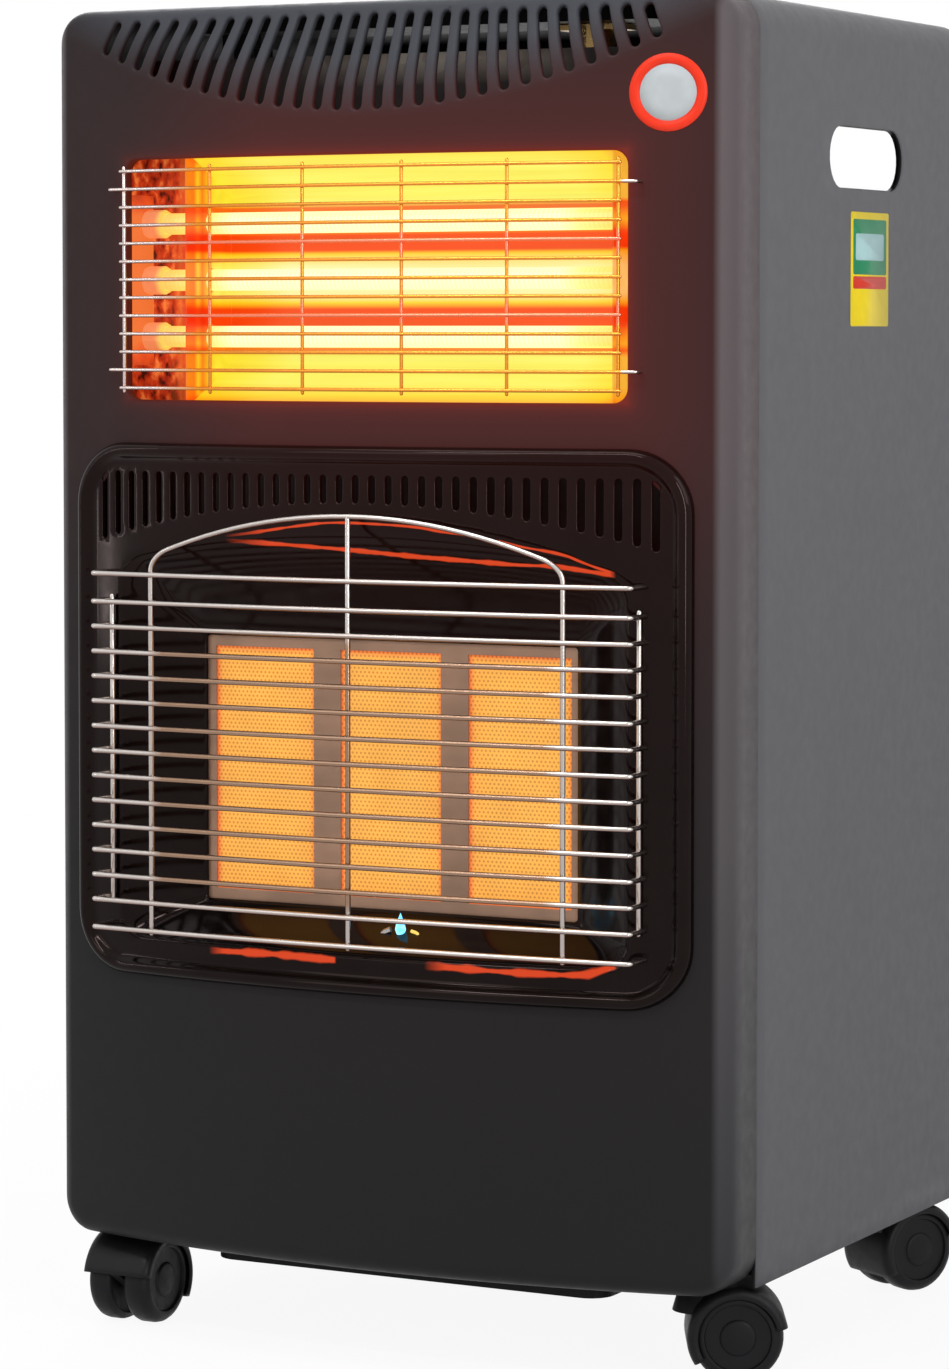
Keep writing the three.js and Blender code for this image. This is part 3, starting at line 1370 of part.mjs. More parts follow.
function gasValve() {
  const bottom = valveTop - VALVE_HEIGHT;
  const body = post(KNOB_X, CONSOLE_Y, bottom, valveTop, VALVE_RADIUS, 12);
  const yoke = box(
    KNOB_X - YOKE_HALF,
    KNOB_X + YOKE_HALF,
    CONSOLE_Y - YOKE_HALF_DEPTH,
    CONSOLE_Y + YOKE_HALF_DEPTH,
    valveTop - YOKE_HEIGHT,
    valveTop,
  );
  const outlet = post(KNOB_X, CONSOLE_Y, bottom - OUTLET_LENGTH, bottom + 1, OUTLET_RADIUS, 6);
  const inletZ = bottom + INLET_RISE;
  const nutStart = CONSOLE_Y + VALVE_RADIUS - 2;
  const nutEnd = nutStart + INLET_NUT;
  const nut = barAlongY(KNOB_X, nutStart, nutEnd, inletZ, INLET_NUT_RADIUS, 6);
  const tailStart = nutEnd - WELD;
  const gasWay = barAlongY(
    KNOB_X,
    CONSOLE_Y,
    tailStart + HOSE_TAIL_LENGTH,
    inletZ,
    GAS_WAY_RADIUS,
    8,
  );
  const collarBore = SPINDLE_RADIUS + SPINDLE_COLLAR + GAP;
  const collarTop = spindleFoot + COLLAR_HEIGHT + GAP;
  const spindleBore = join([
    post(KNOB_X, CONSOLE_Y, spindleFoot, valveTop + 1, SPINDLE_RADIUS + GAP),
    post(KNOB_X, CONSOLE_Y, spindleFoot - KNOB_TRAVEL - GAP, collarTop, collarBore),
  ]);
  const tail = hoseTail();
  tail.translate(KNOB_X, tailStart, inletZ);
  return cut(join([body, yoke, outlet, nut, solid(tail)]), [gasWay, spindleBore]);
}

// The ridged spigot for the gas hose, along +Y from the origin.
function hoseTail() {
  const step = (HOSE_TAIL_LENGTH - INLET_NUT) / HOSE_TAIL_RIDGES;
  const neck = HOSE_TAIL_RADIUS - HOSE_TAIL_BITE;
  const profile = [[0, 0]];
  for (let i = 0; i < HOSE_TAIL_RIDGES; i++) {
    const y = i * step;
    profile.push([neck, y], [HOSE_TAIL_RADIUS, y + HOSE_TAIL_BITE], [neck, y + step - GAP]);
  }
  const end = HOSE_TAIL_RIDGES * step;
  profile.push([neck - GAP, end], [0, end]);
  const points = profile.map(([r, y]) => new THREE.Vector2(r, y));
  return new THREE.LatheGeometry(points, 8);
}

function supplyPipe() {
  const top = valveTop - VALVE_HEIGHT - OUTLET_LENGTH - GAP;
  const end = MANIFOLD_HALF + GAP;
  const corners = [
    [KNOB_X, CONSOLE_Y, top],
    [KNOB_X, CONSOLE_Y, top - 2 * PIPE_BEND],
    [PIPE_X, PIPE_Y, top - 5 * PIPE_BEND],
    [PIPE_X, PIPE_Y, MANIFOLD_Z],
    [PIPE_X, MANIFOLD_Y, MANIFOLD_Z],
    [end, MANIFOLD_Y, MANIFOLD_Z],
  ];
  return rod(bent(corners, PIPE_BEND), PIPE_RADIUS, 8);
}

// ---------------------------------------------------------------- castors
// Drawn about the swivel axis, with the axle behind it at +X and the floor at 0.

const plateTop = TRAY_Z - GAP;
const plateBottom = plateTop - PLATE_THICKNESS;
const hoodTop = plateBottom - GAP;
const castorHalf = WHEEL_CENTRE + WHEEL_WIDTH / 2;

function castorPlate() {
  const plate = planPlate(
    roundedRect(-PLATE_SIDE / 2, PLATE_SIDE / 2, -PLATE_SIDE / 2, PLATE_SIDE / 2, 5),
    plateBottom,
    plateTop,
    2,
  );
  return plate.add(post(0, 0, STEM_FOOT, plateBottom + 1, STEM_RADIUS, 8));
}

function castorHood() {
  const wheelSpaceSides = 10;
  const inner = WHEEL_RADIUS + HOOD_GAP;
  const outer = inner + HOOD_WALL;
  // side view: a cover over the top and the swivel side of the wheels, and the web down to the axle
  const side = new THREE.Shape();
  side.absarc(
    TRAIL,
    WHEEL_RADIUS,
    outer,
    THREE.MathUtils.degToRad(HOOD_FROM),
    THREE.MathUtils.degToRad(HOOD_TO),
  );
  side.lineTo(TRAIL - AXLE_RADIUS, WHEEL_RADIUS - 3 * AXLE_RADIUS);
  side.lineTo(TRAIL + AXLE_RADIUS, WHEEL_RADIUS - 3 * AXLE_RADIUS);
  const cover = frontPlate(side, -castorHalf, castorHalf, 7);
  const boss = post(0, 0, WHEEL_RADIUS + STEM_BOSS, hoodTop, STEM_BOSS, 8);
  const wheelSpace = [-1, 1].map((hand) => {
    const ends = [hand * (HOOD_WEB / 2), hand * (castorHalf + 1)];
    const radius = inner / Math.cos(Math.PI / wheelSpaceSides);
    const [near, far] = [Math.min(...ends), Math.max(...ends)];
    return barAlongY(TRAIL, near, far, WHEEL_RADIUS, radius, wheelSpaceSides);
  });
  const bores = [
    post(0, 0, STEM_FOOT - GAP, HEIGHT, STEM_RADIUS + 2 * GAP, 8),
    barAlongY(TRAIL, -castorHalf, castorHalf, WHEEL_RADIUS, AXLE_RADIUS + 2 * GAP, 8),
  ];
  return cut(join([cover, boss]), [...wheelSpace, ...bores]);
}

function castorWheel() {
  const half = WHEEL_WIDTH / 2;
  const hub = AXLE_RADIUS + GAP;
  const profile = [
    [hub, -half],
    [WHEEL_RADIUS, -half],
    [WHEEL_RADIUS, half - 2.5],
    [WHEEL_RADIUS - 2.5, half],
    [hub, half - 1],
    [hub, -half],
  ].map(([r, y]) => new THREE.Vector2(r, y));
  return new THREE.LatheGeometry(profile, WHEEL_SIDES);
}

function castorAxle() {
  const half = castorHalf - 1;
  return barAlongY(TRAIL, -half, half, WHEEL_RADIUS, AXLE_RADIUS, 8);
}

function addCastor({ name, side, y, heading }, pieces) {
  const place = new THREE.Group();
  place.position.set(side * CASTOR_X, y, 0);
  const castor = new THREE.Group();
  castor.rotation.z = THREE.MathUtils.degToRad(heading);
  place.add(castor);
  group.add(place);
  addPart(`castor_${name}_plate`, pieces.plate, FINISH.bright, place);
  addPart(`castor_${name}_hood`, pieces.hood, FINISH.blackPlastic, castor);
  addPart(`castor_${name}_axle`, pieces.axle, FINISH.bright, castor);
  ["a", "b"].forEach((letter, i) => {
    const wheel = addPart(`castor_${name}_wheel_${letter}`, pieces.wheel, FINISH.tyre, castor);
    wheel.position.set(TRAIL, (i ? -1 : 1) * WHEEL_CENTRE, WHEEL_RADIUS);
    wheel.rotation.z = i ? Math.PI : 0;
  });
}

// ---------------------------------------------------------------- assembly

addPart("front_panel", frontPanel(), FINISH.charcoal);
addPart("body_shell", bodyShell(), FINISH.shell);
addPart("base_tray", baseTray(), FINISH.blackSteel);
addPart("rear_cover", rearCover(), FINISH.shell);
addPart("heat_shield", heatShield(), FINISH.bright);
addPart("burner_surround", burnerSurround(), FINISH.enamel);
addPart("plaque_frame", plaqueFrame(), FINISH.bright);
["left", "middle", "right"].forEach((place, i) => {
  addPart(`ceramic_plaque_${place}`, plaque(i), FINISH.plaque);
  addPart(`burner_box_${place}`, burnerBox(i), FINISH.aluminium);
});
addPart("gas_manifold", gasManifold(), FINISH.brass);
addPart("pilot_burner", pilotBurner(), FINISH.brass);
addPart("thermocouple", thermocouple(), FINISH.bright);
addPart("spark_electrode", sparkElectrode(), FINISH.ceramic);
addPart("lower_guard", lowerGuard(), FINISH.chrome);
addPart("upper_guard", upperGuard(), FINISH.chrome);
addPart("upper_reflector", reflector(), FINISH.polished);
["lower", "middle", "upper"].forEach((place, i) => {
  addPart(`quartz_tube_${place}`, quartzTube(i), FINISH.quartz);
  addPart(`tube_cap_${place}_left`, tubeCap(i, -1), FINISH.ceramic);
  addPart(`tube_cap_${place}_right`, tubeCap(i, 1), FINISH.ceramic);
});
addPart("tube_bracket_left", tubeBracket(-1), FINISH.bright);
addPart("tube_bracket_right", tubeBracket(1), FINISH.bright);
addPart("control_console", controlConsole(), FINISH.blackPlastic);
addPart("switch_body", switchBody(), FINISH.blackPlastic);
addPart("rocker_switch_red", rocker(ROCKER_X[0]), FINISH.redPlastic);
addPart("rocker_switch_black", rocker(ROCKER_X[1]), FINISH.blackPlastic);
addPart("gas_knob", gasKnob(), FINISH.blackPlastic);
addPart("valve_spindle", valveSpindle(), FINISH.bright);
addPart("gas_valve", gasValve(), FINISH.brass);
addPart("supply_pipe", supplyPipe(), FINISH.aluminium);
addPart("cable_gland", cableGland(), FINISH.blackPlastic);

const castorPieces = {
  plate: geometryOf(castorPlate()),
  hood: geometryOf(castorHood()),
  axle: geometryOf(castorAxle()),
  wheel: castorWheel(),
};
CASTORS.forEach((place) => addCastor(place, castorPieces));

// the origin lies on the floor, under the middle of the whole
const bounds = new THREE.Box3().setFromObject(group, true);
const middle = bounds.getCenter(new THREE.Vector3());
group.position.set(-middle.x, -middle.y, -bounds.min.z);

export default group;
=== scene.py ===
import functools
import json
import math

import bmesh
import bpy
import numpy as np
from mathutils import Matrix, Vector
from mathutils.geometry import delaunay_2d_cdt


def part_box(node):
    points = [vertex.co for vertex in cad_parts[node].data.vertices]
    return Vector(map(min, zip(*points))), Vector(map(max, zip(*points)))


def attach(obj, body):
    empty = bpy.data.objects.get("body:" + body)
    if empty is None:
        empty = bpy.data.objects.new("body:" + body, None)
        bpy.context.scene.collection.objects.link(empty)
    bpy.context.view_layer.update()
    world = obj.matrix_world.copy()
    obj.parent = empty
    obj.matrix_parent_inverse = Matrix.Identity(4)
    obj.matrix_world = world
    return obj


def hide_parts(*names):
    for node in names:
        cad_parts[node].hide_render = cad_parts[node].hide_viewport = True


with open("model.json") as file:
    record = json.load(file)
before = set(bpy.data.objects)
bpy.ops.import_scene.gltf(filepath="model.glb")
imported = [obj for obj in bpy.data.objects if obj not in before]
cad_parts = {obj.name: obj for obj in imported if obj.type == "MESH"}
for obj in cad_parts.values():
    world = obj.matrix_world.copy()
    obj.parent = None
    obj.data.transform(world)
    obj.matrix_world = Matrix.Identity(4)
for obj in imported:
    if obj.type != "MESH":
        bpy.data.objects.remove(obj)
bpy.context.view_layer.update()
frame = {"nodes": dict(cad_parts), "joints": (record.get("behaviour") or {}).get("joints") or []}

# ---------------------------------------------------------------- sizes
# The drawing frame of the cabinet, in millimetres: +X right, +Z up from the floor, and Y = 0 in the
# plane through the cabinet's two front corners. place() turns it into the record frame.

MM = 0.001
SHEET = 1.2
SEAM = 42
REAR = 346
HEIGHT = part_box("body_shell")[1].z / MM
HALF_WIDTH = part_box("body_shell")[1].x / MM
LOWER_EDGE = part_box("body_shell")[0].z / MM
DRAWING_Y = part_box("body_shell")[1].y / MM - REAR
BOW = 23
BOW_HALF = 190
BOW_RADIUS = (BOW_HALF**2 + BOW**2) / (2 * BOW)
CORNER = 20
EDGE = 10
TOP_EDGE = 5

FAN_CENTRE = HEIGHT + 374
FAN_RADIUS = 435
FAN_SLOTS = 29
FAN_PITCH = math.radians(1.66)
FAN_HALF_SLOT = 2.8
FAN_TOP = 7
FAN_ROLL = 1.5
FAN_WALL = 3.4
FAN_LEAN = math.radians(25.5)
FAN_BEND = 69

WINDOW_Z = 598
WINDOW_HALF_WIDTH = 155.5
WINDOW_HALF_HEIGHT = 67
WINDOW_CORNER = 8
WINDOW_ROLL = 1.5
WINDOW_FLANGE = 5

SURROUND_HALF = 191.5
SURROUND_BOTTOM = 207
SURROUND_TOP = 507
SURROUND_CORNER = 35
PANEL_HOLE_INSET = 14
LAND = 1.5
LAND_INSET = 12
RECESS_HALF = 160
RECESS_BOTTOM = 227
RECESS_TOP = 441
RECESS_CROWN = 26
RECESS_CORNER = 14
RECESS_ROLL = 4
RIB_COUNT = 35
RIB_PITCH = 10.1
RIB_HALF = 1.9
RIB_ROLL = 1.1
RIB_WALL = 3
RIB_TOP = 491
RIB_FOOT = 476
RIB_ARC = 644

BURNER_Z = 324
FRAME_Y = 16
FRAME_HALF_WIDTH = 117
FRAME_HALF_HEIGHT = 75.5
PLAQUE_PITCH = 80
PLAQUE_HALF_WIDTH = 31.5
PLAQUE_HALF_HEIGHT = 68.5

LOWER_ROWS = 15
LOWER_BOTTOM = 235
LOWER_TOP = 434
LOWER_END_PITCH = 15.7
LOWER_WIRE = 1.5
LOWER_LEG_X = 166.5
LOWER_STAND = -27
LOWER_BULGE = 8
LOWER_LEG_ROWS = (0, 7, 14)
LOWER_BEND = 5
ARCH_BEND = 9
ARCH_HALF = 127.7
ARCH_SHOULDER = 444
ARCH_TOP = 469

UPPER_ROWS = 13
UPPER_PITCH = 10.06
UPPER_WIRE = 1.0
UPPER_HALF = 154.5
UPPER_LEG_X = 163
UPPER_STAND = 7
UPPER_BARS = 6
UPPER_BAR_HALF = 153
UPPER_LEG_ROWS = (1, 11)
UPPER_BEND = 3

HAND_Y = 192
HAND_Z = 666
HAND_HALF_LENGTH = 53
HAND_HALF_HEIGHT = 17
HAND_LIP = 3
HAND_ROLL = 1.6
END_SHEET_Y = 30
END_SHEET_REACH = 182
END_SHEET_HALF = 70

CONSOLE_Y = 80
CONSOLE_HOLE = (145, 31)
CONSOLE_HOLE_CORNER = 7
REAR_FLANGE = 12
REAR_HEADER = 35
HOOP_SIDE = HEIGHT - LOWER_EDGE - CORNER
HOOP_TURN = CORNER * math.pi / 2
HOOP_TOP = 2 * (HALF_WIDTH - CORNER)
HOOP_LENGTH = 2 * HOOP_SIDE + 2 * HOOP_TURN + HOOP_TOP

WHEEL_CENTRE = 11.5
WHEEL_HALF = 7
WHEEL_EXTRA = 1.5
HOOD_HALF = 22
HOOD_RISE = 2.8
HOOD_WALL = 1.4
HOOD_WEB = 6
HOOD_SPAN = (12, 212)

ROUNDEL = (177, 695)
FOIL = 0.1
PILOT_TIP = (16, -2, 237.5)

# where the glow of the hot parts reaches, and where painted light and shade fall on the parts round them
PLAIN = (1, 1, 1)
WHITE = (1, 1, 1, 1)
NOISE_SPREAD = (0.3, 0.7)
GLOW_LEFT_SHARE = 0.35
GLOW_RISE = (-155, -60)
FAN_SLOPE_WIDTH = 28
SHIELD_LIP = 725.5
RED_BAND_Z = 18.5
COIL_PITCH = 1.4
TUBE_END = 152
REFLECTOR_HALF = 71
REFLECTOR_FRONT = -4
REFLECTOR_DEPTH = 50
PLAQUE_HOLE_PITCH = 2.6
PLAQUE_RIM = 14

# boxes seen from the front: left, right, lower and upper edge, and the radius of the corners
WINDOW = (
    -WINDOW_HALF_WIDTH,
    WINDOW_HALF_WIDTH,
    WINDOW_Z - WINDOW_HALF_HEIGHT,
    WINDOW_Z + WINDOW_HALF_HEIGHT,
    WINDOW_CORNER,
)
SURROUND = (-SURROUND_HALF, SURROUND_HALF, SURROUND_BOTTOM, SURROUND_TOP, SURROUND_CORNER)
RECESS = (-RECESS_HALF, RECESS_HALF, RECESS_BOTTOM, RECESS_TOP, RECESS_CORNER)
RECESS_MIDDLE = (RECESS_BOTTOM + RECESS_TOP) / 2
PLAQUE_FRAME = (
    -FRAME_HALF_WIDTH,
    FRAME_HALF_WIDTH,
    BURNER_Z - FRAME_HALF_HEIGHT,
    BURNER_Z + FRAME_HALF_HEIGHT,
    3,
)
DENSE = {"along": 70, "up": 54, "bend": 12}

# ---------------------------------------------------------------- curves of the sheet metal


def face(x):
    """Y of the bowed face at x."""
    return BOW_RADIUS - BOW - np.sqrt(BOW_RADIUS**2 - np.square(x))


def louvre_dish(x, z):
    """How far the louvre leans back behind the bowed face: a bend, then a straight slope."""
    inside = np.maximum(FAN_RADIUS + 2 * FAN_HALF_SLOT - np.hypot(x, FAN_CENTRE - z), 0)
    bent = np.minimum(inside, FAN_BEND * math.sin(FAN_LEAN))
    return FAN_BEND - np.sqrt(FAN_BEND**2 - bent**2) + (inside - bent) * math.tan(FAN_LEAN)


def panel_y(x, z):
    return face(x) + louvre_dish(x, z)


def land_y(x, z):
    return face(x) - LAND


def crown_rise(x):
    """How far the arch over the recess rises above its shoulders at x."""
    return RECESS_CROWN * (1 - (x / RECESS_HALF) ** 2)


def inward_normals(surface, x, z):
    """Unit normals of y = surface(x, z), pointing into the cabinet."""
    step = 0.05
    slope_x = (surface(x + step, z) - surface(x - step, z)) / (2 * step)
    slope_z = (surface(x, z + step) - surface(x, z - step)) / (2 * step)
    normals = np.stack([-slope_x, np.ones_like(slope_x), -slope_z], axis=1)
    return normals / np.linalg.norm(normals, axis=1, keepdims=True)


def upright(loop, y):
    """The loop's (x, z) points at y, which is one number or one for each point."""
    return np.stack([loop[:, 0], np.broadcast_to(y, len(loop)), loop[:, 1]], axis=1)


def on_surface(surface, loop, depth=0.0):
    """The loop's (x, z) points on y = surface(x, z), moved into the cabinet by depth."""
    x, z = loop[:, 0], loop[:, 1]
    return upright(loop, surface(x, z)) + inward_normals(surface, x, z) * depth


# ---------------------------------------------------------------- outlines in a plane, as (n, 2) arrays


def arc(cu, cv, radius, start, end, count):
    angles = np.linspace(start, end, count)
    return np.stack([cu + radius * np.cos(angles), cv + radius * np.sin(angles)], axis=1)


def run(a, b, count):
    """Points between a and b, without the two ends."""
    t = np.linspace(0, 1, count + 2)[1:-1, None]
    return np.array(a) * (1 - t) + np.array(b) * t


def rounded(u0, u1, v0, v1, radius, along=30, up=30, bend=8):
    """A closed rounded rectangle, anticlockwise from its lower right corner."""
    r = max(radius, 0.05)
    quarter = math.pi / 2
    corners = [
        arc(u1 - r, v0 + r, r, -quarter, 0, bend),
        arc(u1 - r, v1 - r, r, 0, quarter, bend),
        arc(u0 + r, v1 - r, r, quarter, 2 * quarter, bend),
        arc(u0 + r, v0 + r, r, 2 * quarter, 3 * quarter, bend),
    ]
    counts = [up, along, up, along]
    parts = []
    for i, corner in enumerate(corners):
        parts += [corner, run(corner[-1], corners[(i + 1) % 4][0], counts[i])]
    return np.vstack(parts)


def stadium(a, b, half, along=14, bend=6):
    """A closed outline at distance half round the segment from a to b."""
    (ax, ay), (bx, by) = a, b
    heading = math.atan2(by - ay, bx - ax)
    quarter = math.pi / 2
    near = arc(ax, ay, half, heading + quarter, heading + 3 * quarter, bend)
    far = arc(bx, by, half, heading - quarter, heading + quarter, bend)
    return np.vstack([near, run(near[-1], far[0], along), far, run(far[-1], near[0], along)])


def grown(box, by):
    left, right, bottom, top, corner = box
    return left - by, right + by, bottom - by, top + by, corner + by


BURNER_HOLE = grown(SURROUND, -PANEL_HOLE_INSET)


def grid_over(left, right, bottom, top, step):
    """Rows of u and v of a grid's points."""
    u, v = np.meshgrid(np.arange(left, right, step), np.arange(bottom, top, step))
    return np.stack([u.ravel(), v.ravel()])


def rect_distance(u, v, u0, u1, v0, v1, radius):
    """Distance to a rounded rectangle, negative inside it."""
    qu = np.abs(u - (u0 + u1) / 2) - (u1 - u0) / 2 + radius
    qv = np.abs(v - (v0 + v1) / 2) - (v1 - v0) / 2 + radius
    return np.hypot(np.maximum(qu, 0), np.maximum(qv, 0)) + np.minimum(np.maximum(qu, qv), 0) - radius


def segment_distance(u, v, a, b):
    run_u, run_v = b[0] - a[0], b[1] - a[1]
    t = np.clip(((u - a[0]) * run_u + (v - a[1]) * run_v) / (run_u**2 + run_v**2), 0, 1)
    return np.hypot(u - a[0] - t * run_u, v - a[1] - t * run_v)


# ---------------------------------------------------------------- meshes


def place(points):
    """Drawing frame in millimetres to the record frame in metres."""
    return (np.asarray(points, float) + [0, DRAWING_Y, 0]) * MM


class Sheet:
    """Collects the loops and patches of one piece, in drawing-frame millimetres."""

    def __init__(self):
        self.points = []
        self.faces = []

    def add(self, points):
        first = len(self.points)
        self.points.extend(np.asarray(points, float).tolist())
        return list(range(first, len(self.points)))

    def bridge(self, loop_a, loop_b, closed=True):
        count = len(loop_a)
        for i in range(count if closed else count - 1):
            j = (i + 1) % count
            self.faces.append((loop_a[i], loop_a[j], loop_b[j], loop_b[i]))

    def rings(self, loops, closed=True):
        ids = [self.add(loop) for loop in loops]
        for a, b in zip(ids, ids[1:]):
            self.bridge(a, b, closed)
        return ids

    def cap(self, ids):
        self.faces.append(tuple(ids))

    def solid(self, loops):
        """A closed body through the loops."""
        ids = self.rings(loops)
        self.cap(list(reversed(ids[0])))
        self.cap(ids[-1])

    def patch(self, loops, u, v, inside, lift, clearance):
        """Triangles where inside(u, v) > 0, through the loops and the points (u, v) clear of them."""
        keep = inside(u, v) > clearance
        flat = np.vstack([*loops, np.stack([u[keep], v[keep]], axis=1)])
        edges = []
        first = 0
        for loop in loops:
            count = len(loop)
            edges += [(first + i, first + (i + 1) % count) for i in range(count)]
            first += count
        made = delaunay_2d_cdt([Vector(p) for p in flat.tolist()], edges, [], 0, 1e-4)
        verts = np.array([tuple(p) for p in made[0]])
        triangles = np.array([tuple(f) for f in made[2]])
        centre = verts[triangles].mean(axis=1)
        triangles = triangles[inside(centre[:, 0], centre[:, 1]) > 0]
        ids = self.add(lift(verts))
        self.faces += [tuple(ids[i] for i in t) for t in triangles.tolist()]


def mesh_piece(name, sheet, material, nodes=(), body="cabinet", outward=None, thickness=0):
    """One piece made of the sheet's faces. outward is (face's rough place, direction it must face)."""
    mesh = bpy.data.meshes.new(name)
    mesh.from_pydata(place(sheet.points).tolist(), [], sheet.faces)
    work = bmesh.new()
    work.from_mesh(mesh)
    bmesh.ops.remove_doubles(work, verts=work.verts, dist=2e-6)
    bmesh.ops.recalc_face_normals(work, faces=work.faces)
    if outward:
        spot, direction = Vector(place([outward[0]])[0]), Vector(outward[1])
        nearest = min(work.faces, key=lambda f: (f.calc_center_median() - spot).length)
        if nearest.normal.dot(direction) < 0:
            bmesh.ops.reverse_faces(work, faces=work.faces)
    work.to_mesh(mesh)
    work.free()
    mesh.shade_smooth()
    piece = bpy.data.objects.new(name, mesh)
    bpy.context.scene.collection.objects.link(piece)
    mesh.materials.append(material)
    if thickness:
        solidify = piece.modifiers.new("sheet", "SOLIDIFY")
        solidify.thickness = thickness * MM
        solidify.offset = -1
        solidify.use_even_offset = False
    mesh.set_sharp_from_angle(angle=math.radians(50))
    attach(piece, body)
    if nodes:
        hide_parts(*nodes)
    return piece


def tube(sheet, points, radius, sides=10):
    """A round wire along the points, with domed ends."""
    path = [Vector(p) for p in points]
    padded = [path[0], *path, path[-1]]
    tangents = [(b - a).normalized() for a, b in zip(padded, padded[2:])]
    side = tangents[0].orthogonal().normalized()
    frames = []
    for centre, tangent in zip(path, tangents):
        side = (side - tangent * side.dot(tangent)).normalized()
        frames.append((centre, tangent, side, tangent.cross(side)))
    dome = [(-1.0, 0.05), (-0.87, 0.5), (-0.5, 0.87)]
    ends = [(frames[0], along, wide) for along, wide in dome]
    middle = [(f, 0.0, 1.0) for f in frames]
    tail = [(frames[-1], -along, wide) for along, wide in reversed(dome)]
    rings = []
    for (centre, tangent, u, v), along, wide in ends + middle + tail:
        centre = centre + tangent * (along * radius)
        ring = []
        for k in range(sides):
            angle = 2 * math.pi * k / sides
            ring.append(tuple(centre + (u * math.cos(angle) + v * math.sin(angle)) * (radius * wide)))
        rings.append(ring)
    sheet.solid(rings)


def rounded_path(points, radius, pieces=5):
    """The points with each inner corner rounded off."""
    corners = [Vector(p) for p in points]
    out = [corners[0]]
    for before, corner, after in zip(corners, corners[1:], corners[2:]):
        reach = min(radius, (before - corner).length / 2, (after - corner).length / 2)
        start = corner + (before - corner).normalized() * reach
        end = corner + (after - corner).normalized() * reach
        for k in range(pieces + 1):
            t = k / pieces
            out.append(start * (1 - t) ** 2 + corner * (2 * t * (1 - t)) + end * t**2)
    out.append(corners[-1])
    return out


def lathe(sheet, profile, centre, axis, sides=48):
    """Turns (radius, height) points round the axis through centre."""
    axis = Vector(axis).normalized()
    u = axis.orthogonal().normalized()
    v = axis.cross(u)
    rings = []
    for radius, height in profile:
        ring = []
        for k in range(sides):
            angle = 2 * math.pi * k / sides
            out = u * math.cos(angle) + v * math.sin(angle)
            ring.append(tuple(Vector(centre) + axis * height + out * max(radius, 0.01)))
        rings.append(ring)
    sheet.solid(rings)


# ---------------------------------------------------------------- materials


class Field:
    """A number or colour that varies over the surface. Arithmetic on it adds Math nodes."""

    def __init__(self, nodes, socket):
        self.nodes = nodes
        self.socket = socket

    def __abs__(self):
        return self.nodes.math("ABSOLUTE", self)

    def at_least(self, other=0.0):
        return self.nodes.math("MAXIMUM", self, other)

    def at_most(self, other=0.0):
        return self.nodes.math("MINIMUM", self, other)

    def folded(self, width):
        """The number running to and fro between 0 and width."""
        return self.nodes.math("PINGPONG", self, width)

    def range(self, low, high, start=0.0, end=1.0):
        """Start where the number is low, end where it is high, and a straight line between."""
        return self.nodes.add("ShaderNodeMapRange", self, low, high, start, end)

    def ramp(self, *stops):
        """Colours at places along the number."""
        made = self.nodes.add("ShaderNodeValToRGB", self)
        elements = made.socket.node.color_ramp.elements
        while len(elements) < len(stops):
            elements.new(1.0)
        for element, (position, colour) in zip(elements, stops):
            element.position = position
            element.color = (*colour, 1)
        return made


def add_operator(name, operation):
    """Lets a Field stand on either side of a Python operator."""
    setattr(Field, f"__{name}__", lambda self, other: self.nodes.math(operation, self, other))
    setattr(Field, f"__r{name}__", lambda self, other: self.nodes.math(operation, other, self))


OPERATORS = {"add": "ADD", "sub": "SUBTRACT", "mul": "MULTIPLY", "truediv": "DIVIDE", "pow": "POWER"}
for operator, operation in OPERATORS.items():
    add_operator(operator, operation)


def hypot(a, b):
    return a.nodes.math("SQRT", a**2.0 + b**2.0)


class Nodes:
    """A node tree, with short ways to add nodes to it."""

    def __init__(self, tree):
        self.tree = tree

    def fill(self, node, values):
        """Links or sets the node's inputs, given by place or name."""
        for place, value in values.items():
            if isinstance(value, Field):
                self.tree.links.new(value.socket, node.inputs[place])
            else:
                node.inputs[place].default_value = value

    def add(self, kind, *inputs, named=None, output=0, **settings):
        """Adds a node, fills its inputs in order or by name, and returns one of its outputs."""
        node = self.tree.nodes.new(kind)
        for name, value in settings.items():
            setattr(node, name, value)
        self.fill(node, {**dict(enumerate(inputs)), **(named or {})})
        return Field(self, node.outputs[output])

    def math(self, operation, a, b=0.0):
        return self.add("ShaderNodeMath", a, b, operation=operation)

    def times(self, a, b):
        """Colour a times colour b."""
        return self.add("ShaderNodeVectorMath", a, b, operation="MULTIPLY")

    def mix(self, share, a, b):
        """Colour a where the share is 0, and colour b where it is 1."""
        a, b = (colour if isinstance(colour, Field) else (*colour, 1) for colour in (a, b))
        return self.add("ShaderNodeMix", named={0: share, 6: a, 7: b}, output=2, data_type="RGBA")

    def split(self, vector):
        node = self.tree.nodes.new("ShaderNodeSeparateXYZ")
        self.fill(node, {0: vector})
        return [Field(self, output) for output in node.outputs]

    def seen_rays(self):
        """1 for rays from the camera, from glossy surfaces and through clear ones, otherwise 0."""
        kinds = ("Is Camera Ray", "Is Glossy Ray", "Is Transmission Ray")
        camera, glossy, clear = (self.add("ShaderNodeLightPath", output=kind) for kind in kinds)
        return camera.at_least(glossy).at_least(clear)

    def blend(self, share, first, second, output):
        """Shows the first shader where the share is 0, and the second where it is 1."""
        mixed = self.add("ShaderNodeMixShader", share, first, second)
        self.fill(self.tree.nodes[output], {"Surface": mixed})


